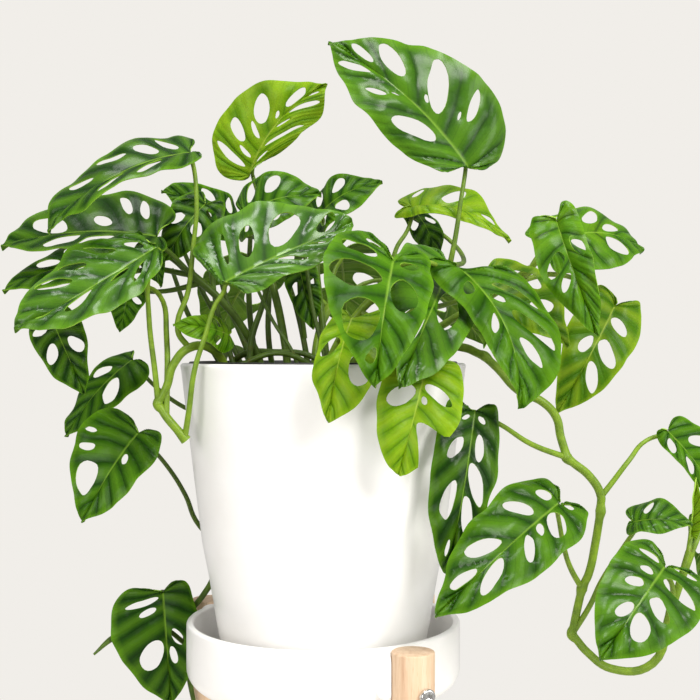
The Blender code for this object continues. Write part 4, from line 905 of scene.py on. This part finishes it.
def makeBolt(name, angle):
    # a socket screw: domed head with a six-sided pit, and its shank through leg and tray
    look = boltLook
    skin = legLook["ring"] + legLook["radius"]
    under = skin + 0.2
    top = under + look["headOut"]
    head = boltRod(angle, 48, look["headRadius"], under, top)
    head.name = f"nickelBolt_{name}"
    applyPlace(head)
    outward = Vector(legPlace(angle, 1.0, 0.0))
    far = max(outward.dot(corner.co) for corner in head.data.vertices)
    bevelEdges(
        head, look["headRound"], 5, lambda edge: all(outward.dot(v.co) > far - 1e-5 for v in edge.verts),
    )
    cutAway(head, boltRod(angle, 6, look["pitRadius"], top - 1.4, top + 2.6))
    start = trayLook["radius"] - trayLook["wall"] + 0.8
    shank = boltRod(angle, 24, look["shankRadius"], start, skin + 0.6)
    applyPlace(shank)
    joinInto(head, [shank])
    coat(head, nickelSteel, 30)
    addToFrame(head, f"bolt_{name}")


makeTray()
makeLegs()
print("tray, legs and bolts made")

# Half of a margin from the stalk round the lobe to the tip: (across / half width, along / length)
halfMargin = [
    (0.00, 0.00), (0.30, -0.09), (0.66, -0.11), (0.93, 0.03), (1.00, 0.22),
    (0.94, 0.43), (0.74, 0.64), (0.43, 0.82), (0.15, 0.94), (0.00, 1.00),
]
lobeEnd = 0.3  # side veins up to this place all start at the stalk
blade = dict(
    thickness=0.55, marginSteps=84, holeSteps=22, rows=66, columns=14, ripple=1.5, pucker=0.6, dip=0.55,
    wander=1.9, widen=1.35, lengthen=1.15, rootPower=1.35,
)


def marginPoint(t):
    last = len(halfMargin) - 1
    at = min(max(t, 0.0), 1.0) * last
    first = min(int(at), last - 1)
    near = [np.array(halfMargin[min(max(first + i, 0), last)]) for i in (-1, 0, 1, 2)]
    return between(*near, at - first)


def flatPoint(leaf, side, t, s):  # (across, along) on the flat blade; t along the margin, s from the midrib
    which = 0 if side < 0 else 1
    length = (leaf["tip"] - leaf["base"]).length
    across, along = marginPoint(t)
    across = abs(across) ** leaf["full"][which]
    along += (1.0 - leaf["lobe"][which]) * 0.74 * t * (1.0 - t) ** 2
    root = max(0.0, (t - lobeEnd) / (1.0 - lobeEnd)) ** blade["rootPower"]
    sag = 0.1 * s * (1.0 - s) * min(1.0, 4 * root) * (1.0 - t)
    return (side * s * across * leaf["half"][which], (root + s * (along - root) - sag) * length)


def bladePoint(leaf, side, t, s, quilt=0.0):  # (place, normal) on the bent blade
    across, along = flatPoint(leaf, side, t, s)
    base, tip = leaf["base"], leaf["tip"]
    length = (tip - base).length
    axis = (tip - base) / length
    face = (leaf["face"] - axis * leaf["face"].dot(axis)).normalized()
    x = along / length
    bend = face * leaf["arch"] + axis.cross(face) * leaf["bow"]
    spine = base + axis * along + bend * (4 * x * (1 - x))
    run = (axis * length + bend * (4 * (1 - 2 * x))).normalized()
    up = (face - run * face.dot(run)).normalized()
    out = run.cross(up)
    which = 0 if side < 0 else 1
    width = leaf["half"][which]
    fold = math.radians(leaf["fold"][which])
    reach = abs(across) / width
    ripple = leaf["wave"] * s * s * math.sin(math.tau * 2.5 * t + side)
    lift = abs(across) * math.sin(fold) - leaf["curl"] * reach * reach + ripple + quilt
    point = spine + out * (across * math.cos(fold)) + up * lift
    slope = math.sin(fold) - 2 * leaf["curl"] * reach / width
    return point, (up - out * (side * slope)).normalized()


def veinPlaces(holes):  # side veins lie between the holes, and evenly elsewhere
    centres = []
    for t in sorted(hole[0] for hole in holes):
        if not centres or t - centres[-1] > 0.075:
            centres.append(t)
    if not centres:
        return [0.0, 0.1, 0.22, 0.34, 0.46, 0.58, 0.7, 0.82, 0.93, 1.0]
    veins = []
    t = centres[0] - 0.06
    while t > 0.04:
        veins.insert(0, t)
        t -= 0.12
    for before, after in zip(centres, centres[1:]):
        count = max(1, round((after - before) / 0.13))
        veins += [before + (after - before) * (i + 0.5) / count for i in range(count)]
    t = centres[-1] + 0.06
    while t < 0.97:
        veins.append(t)
        t += 0.1
    return [0.0, *veins, 1.0]


def marginRing(leaf):  # the margin as (side, t, s), right half up to the tip and back down the left
    steps = blade["marginSteps"]
    ring = [(1, 0.0, 0.0)]
    for side in (1, -1):
        half = [(side, i / steps, 1.0) for i in range(1, steps)]
        for torn, middle, reach, depth in leaf["notch"]:
            if torn == side:
                half = [p for p in half if abs(p[1] - middle) > reach]
                for i in range(-7, 8):
                    s = depth + (1 - depth) * abs(i / 7.5) ** 1.7
                    half.append((side, middle + reach * i / 7.5, s))
                half.sort(key=lambda p: p[1])
        ring += half + [(1, 1.0, 1.0)] if side > 0 else half[::-1]
    return ring


def insideRing(points, ring):  # even-odd test of many flat points at once
    x, y = points[:, 0:1], points[:, 1:2]
    ax, ay = ring[:, 0], ring[:, 1]
    bx, by = np.roll(ax, -1), np.roll(ay, -1)
    crosses = (ay > y) != (by > y)
    rise = np.where(by == ay, 1e-9, by - ay)
    hits = crosses & (x < ax + (y - ay) / rise * (bx - ax))
    return hits.sum(axis=1) % 2 == 1


def openedHoles(holes):  # holes open as far as narrow bridges between them allow
    opened = []
    for i, (t, s, reach, width) in enumerate(holes):
        grow = blade["widen"] if reach > 0.13 else 1.1
        for j, (otherT, otherS, otherReach, otherWidth) in enumerate(holes):
            if i != j and abs(s - otherS) < reach + otherReach + 0.06:
                grow = min(grow, max(1.0, (abs(t - otherT) - 0.022) / (width + otherWidth)))
        low, high = max(0.07, s - blade["lengthen"] * reach), min(0.9, s + blade["lengthen"] * reach)
        low, high = min(low, s - reach), max(high, s + reach)
        opened.append((t, (low + high) / 2, (high - low) / 2, width * grow))
    return opened


def holePoint(side, t, s, reach, width, turn):  # an egg, narrower towards the margin, a little uneven
    uneven = 1.0 + 0.14 * noise.noise(Vector((math.cos(turn), math.sin(turn), 37.0 * t + 11.0 * s)))
    narrow = 1.0 - 0.16 * math.cos(turn)
    return (side, t + width * narrow * uneven * math.sin(turn), s + reach * uneven * math.cos(turn))


def holeDip(leaf, side, t, s):  # the blade turns down a little round each hole
    dip = 0.0
    for middle, across, reach, width in leaf["holes"][side]:
        away = math.hypot((t - middle) / width, (s - across) / reach) - 1.0
        dip = max(dip, math.exp(-4.0 * max(0.0, away)))
    return dip


def freeOfHoles(leaf, side, t, s):
    for middle, across, reach, width in leaf["holes"][side]:
        if math.hypot((t - middle) / (1.15 * width + 0.007), (s - across) / (1.1 * reach + 0.03)) < 1.0:
            return False
    for torn, middle, reach, depth in leaf["notch"]:
        if torn == side and abs(t - middle) < reach and s > depth - 0.05:
            return False
    return True


def flatLeaf(leaf):  # (places as side, t, s; flat corners; triangles) of the blade before it bends
    rings = [marginRing(leaf)]
    turns = [math.tau * (i + 0.5) / blade["holeSteps"] for i in range(blade["holeSteps"])]
    for side in (-1, 1):
        rings += [[holePoint(side, *hole, turn) for turn in turns] for hole in leaf["holes"][side]]
    places, edges = [], []
    for ring in rings:
        start = len(places)
        places += ring
        edges += [(start + i, start + (i + 1) % len(ring)) for i in range(len(ring))]
    start = len(places)
    places += [(1, lobeEnd + (1 - lobeEnd) * i / 30, 0.0) for i in range(1, 30)]
    spine = [0, *range(start, len(places)), rings[0].index((1, 1.0, 1.0))]
    edges += list(zip(spine, spine[1:]))
    for side in (-1, 1):
        for row in range(1, blade["rows"]):
            for column in range(1, blade["columns"]):
                t = (row + 0.5 * (column % 2)) / blade["rows"]
                s = column / blade["columns"]
                if t < 0.99 and freeOfHoles(leaf, side, t, s):
                    places.append((side, t, s))
    flat = [Vector(flatPoint(leaf, *p)) for p in places]
    corners, _, triangles, kept, _, _ = geometry.delaunay_2d_cdt(flat, edges, [], 0, 1e-3)
    corners = np.array([tuple(c) for c in corners])
    triangles = np.array(triangles)
    middles = corners[triangles].mean(axis=1)
    margin, *holes = [np.array([flatPoint(leaf, *p) for p in ring]) for ring in rings]
    wanted = insideRing(middles, margin)
    for ring in holes:
        wanted &= ~insideRing(middles, ring)
    return [places[sources[0]] for sources in kept], corners, triangles[wanted].tolist()


def makeLeaf(name, leaf):
    age, quilt, shine = leaf["look"]
    leaf = {**leaf, "holes": {side: openedHoles(holes) for side, holes in leaf["holes"].items()}}
    places, corners, triangles = flatLeaf(leaf)
    veins = {side: veinPlaces(leaf["holes"][side]) for side in (-1, 1)}

    def veinCount(side, t):
        return float(np.interp(t, veins[side], range(len(veins[side]))))

    points = []
    for side, t, s in places:
        count = veinCount(side, t)
        swell = abs(math.sin(math.pi * count)) ** 0.8 + 0.25 * math.sin(math.tau * count + 3.0 * s)
        swell *= 1.5 * quilt * min(1.0, s / 0.3) * min(1.0, (1.0 - s) / 0.25 + 0.2)
        swell -= blade["dip"] * holeDip(leaf, side, t, s)
        point, normal = bladePoint(leaf, side, t, s, swell)
        spot = point + Vector((31.0 * len(name), 0, 0))
        lumps = blade["ripple"] * noise.noise(spot / 19.0) + blade["pucker"] * noise.noise(spot / 7.0)
        wander = Vector([noise.noise(spot / 13.0 + Vector((0, 29.0 * k, 0))) for k in range(3)])
        wander *= blade["wander"] * s
        points.append(place(point + normal * (lumps * min(1.0, 1.6 * s)) + wander))
    mesh = bpy.data.meshes.new(name)
    mesh.from_pydata(points, [], triangles)
    veinLayer = mesh.uv_layers.new(name="veins")
    for polygon in mesh.polygons:
        side = 1 if sum(corners[v][0] for v in polygon.vertices) > 0 else -1
        coords = []
        for v in polygon.vertices:
            _, t, s = places[v]
            coords.append(None if s == 0.0 and t == 0.0 else (veinCount(side, t), s))
        known = [c[0] for c in coords if c]
        for loop, coord in zip(polygon.loop_indices, coords):
            veinLayer.data[loop].uv = coord or (sum(known) / len(known), 0.0)
    setNumbers(mesh, "age", [age] * len(points))
    setNumbers(mesh, "shine", [shine] * len(points))
    piece = newObject(name.replace("leaf_", "leafBlade_"), mesh)
    for material in (youngTop if leaf["young"] else matureTop, leafBack, leafRimHighlight):
        mesh.materials.append(material)
    if sum(p.normal.dot(leaf["face"]) * p.area for p in mesh.polygons) < 0:
        mesh.flip_normals()
    applyModifier(
        piece, "SOLIDIFY", thickness=blade["thickness"] * mm, offset=0.0, material_offset=1,
        material_offset_rim=2, use_even_offset=False,
    )
    smooth(piece, 50)
    addToFrame(piece, name)


for leafName, leafData in {**leafShapes, **fillerLeaves}.items():
    makeLeaf(leafName, leafData)
print("leaves made")

stalkLook = dict(
    start=1.45, end=0.95, ribEnd=0.25, resolution=6, sides=4, foot=254.0, neck=3.6, ringReach=4.0,
)
# darker tones for these vines, partly painted shade of the dark inside of the plant
shadeDarkVines = {
    "vine_trailing": 0.2, "vine_back": 0.45, "vine_top": 0.4, "vine_left_back": 0.25, "vine_inner": 0.35,
    "vine_middle": 0.35, "vine_front": 0.5,
}  # the others are pale and fresh


def swollenRoute(route):  # joints swell over 4 mm, not over the whole stretch between points
    places, joints = [], []
    last = len(route) - 1
    for i, (x, y, z, radius) in enumerate(route):
        spot = Vector((x, y, z))
        widest = max(route[k][3] for k in (i - 1, i + 1) if 0 <= k <= last)
        if radius > widest + 0.25 and 0 < i < last:
            before, after = route[i - 1], route[i + 1]
            neck, away = min(before[3], after[3]), stalkLook["neck"]
            places += [
                (spot + (Vector(before[:3]) - spot).normalized() * away, neck), (spot, radius),
                (spot + (Vector(after[:3]) - spot).normalized() * away, neck),
            ]
            joints.append(spot)
        else:
            places.append((spot, radius))
            if i == last:
                joints.append(spot)
    return places, joints


def newStemCurve(name):
    curve = bpy.data.curves.new(name, "CURVE")
    curve.dimensions = "3D"
    curve.resolution_u = stalkLook["resolution"]
    curve.bevel_depth = mm
    curve.bevel_resolution = stalkLook["sides"]
    curve.use_fill_caps = True
    return curve


def addSpline(curve, route):
    spline = curve.splines.new("BEZIER")
    spline.bezier_points.add(len(route) - 1)
    for knot, (spot, radius) in zip(spline.bezier_points, route):
        knot.co = place(spot)
        knot.radius = radius
        knot.handle_left_type = knot.handle_right_type = "AUTO"


def stalkRoute(leaf, start):  # up to the blade, then along its underside as the midrib
    _, normal = bladePoint(leaf, 1, lobeEnd + 0.02, 0.0)
    base, end, under = leaf["base"], stalkLook["end"], blade["thickness"] / 2
    axis = (leaf["tip"] - base).normalized()
    route = [(start, stalkLook["start"])]
    for i, spot in enumerate(leaf["stalk"][1:], 1):
        share = i / len(leaf["stalk"])
        route.append((Vector(spot), stalkLook["start"] * (1 - share) + end * share))
    route.append((base - normal * 3.6 - axis * 0.6, end + 0.15))
    route.append((base - normal * (end + under * 0.6) + axis * 1.2, end))
    for step in (0.08, 0.2, 0.36, 0.54, 0.72, 0.88):
        rib = end + (stalkLook["ribEnd"] - end) * step ** 0.7
        t = lobeEnd + (1 - lobeEnd) * step ** (1 / blade["rootPower"])
        point, normal = bladePoint(leaf, 1, t, 0.0)
        route.append((point - normal * (rib * 0.75), rib))
    return route


def finishStem(curve, pieceName, name, tone, joints):
    makeActive(newObject(pieceName, curve))
    bpy.ops.object.convert(target="MESH")
    piece = bpy.context.active_object
    corners = piece.data.vertices
    setNumbers(piece.data, "tone", [tone] * len(corners))
    spots = [place(joint) for joint in joints]
    nearest = [min((corner.co - spot).length for spot in spots) for corner in corners]
    reach = stalkLook["ringReach"] * mm
    setNumbers(piece.data, "joint", [max(0.0, 1.0 - away / reach) for away in nearest])
    piece.data.materials.clear()
    coat(piece, livingStem, 60)
    addToFrame(piece, name)


def makeVine(name, route):
    curve = newStemCurve(name)
    places, joints = swollenRoute(route)
    x, y, _, radius = route[0]
    addSpline(curve, [(Vector((x, y, stalkLook["foot"])), radius)] + places)
    ending = Vector(route[-1][:3])
    run = (ending - Vector(route[-2][:3])).normalized()
    inward = 1.0
    for leaf in leafShapes.values():
        if leaf["vine"] != name:
            continue
        start = Vector(leaf["stalk"][0])
        if start == ending:
            start = ending - run * inward
            inward += 0.7
        addSpline(curve, stalkRoute(leaf, start))
    if name == "vine_trailing":
        addSpline(curve, [(Vector(spot), radius) for spot, radius in budRoute])
    finishStem(curve, name.replace("vine_", "vineStem_"), name, shadeDarkVines.get(name, 0.5), joints)


def makeFillers():
    curve = newStemCurve("fillerStems")
    for route in fillerStems:
        addSpline(curve, [(Vector(knot[:3]), knot[3]) for knot in route])
    for leaf in fillerLeaves.values():
        addSpline(curve, stalkRoute(leaf, Vector(leaf["stalk"][0])))
    # the low tone 0.2 makes these stems dark, partly painted shade
    finishStem(curve, "vineStem_thin", "fillers", 0.2, [Vector(route[1][:3]) for route in fillerStems])


for vineName, vineRoute in vineRoutes.items():
    makeVine(vineName, vineRoute)
makeFillers()
print("vines made")

studio = dict(
    floorRadius=0.33, floorDepth=0.012, wall="#f1eee9", sky="#fbf9f6", skyStrength=0.48,
    aim=(0.0, 0.0, 0.27),
    lamps=[  # name, place, size, watts, colour
        ("keyLight", (0.65, -0.95, 1.0), 0.6, 16.0, "#fffdf9"),
        ("topLight", (-0.2, -0.3, 1.4), 0.5, 9.0, "#ffffff"),
        ("fillLight", (-0.6, -1.15, 0.5), 0.8, 8.0, "#fdfbf8"),
        ("sideLight", (1.2, -0.5, 0.3), 0.6, 4.0, "#ffffff"),
    ],
)
cameraLook = dict(place=(-0.00635, -0.6063, 0.284), lens=61.35)


def makeFloor():
    deselectAll()
    bpy.ops.mesh.primitive_circle_add(vertices=96, radius=studio["floorRadius"], fill_type="NGON")
    floor = bpy.context.active_object
    floor.name = "paleFloor"
    startEdit(floor)
    bpy.ops.mesh.extrude_region_move(TRANSFORM_OT_translate={"value": (0, 0, -studio["floorDepth"])})
    bpy.ops.mesh.select_all(action="SELECT")
    bpy.ops.mesh.normals_make_consistent(inside=False)
    bevelEdges(floor, 3.0, 4, lambda edge: all(v.co.z > -0.001 for v in edge.verts))
    coat(floor, paleBoard, 35)


def makeRoom():
    world = bpy.data.worlds.new("paleRoom")
    world.use_nodes = True
    bpy.context.scene.world = world
    tree = world.node_tree
    room = tree.nodes["Background"]
    room.inputs["Color"].default_value = linear(studio["sky"])
    room.inputs["Strength"].default_value = studio["skyStrength"]
    wall = addNode(tree, "Background", {"Color": linear(studio["wall"]), "Strength": 1.0})
    ray = addNode(tree, "LightPath")  # the wall is seen as bright as in a white room
    inputs = {0: ray.outputs["Is Camera Ray"], 1: room.outputs[0], 2: wall.outputs[0]}
    both = addNode(tree, "MixShader", inputs)
    tree.links.new(both.outputs[0], tree.nodes["World Output"].inputs["Surface"])


def makeLights():
    for name, spot, size, power, colour in studio["lamps"]:
        bpy.ops.object.light_add(type="AREA", location=spot)
        light = bpy.context.active_object
        light.name = name
        light.data.shape = "DISK"
        light.data.size = size
        light.data.energy = power
        light.data.color = linear(colour)[:3]
        aim = Vector(studio["aim"]) - Vector(spot)
        light.rotation_euler = aim.to_track_quat("-Z", "Y").to_euler()


def makeCamera():
    bpy.ops.object.camera_add(location=cameraLook["place"], rotation=(math.pi / 2, 0, 0))
    camera = bpy.context.active_object
    camera.data.sensor_width = 36.0
    camera.data.lens = cameraLook["lens"]
    bpy.context.scene.camera = camera
    bpy.context.scene.view_settings.view_transform = "Standard"


makeFloor()
makeRoom()
makeLights()
makeCamera()
print("floor, lights and camera made")

deselectAll()
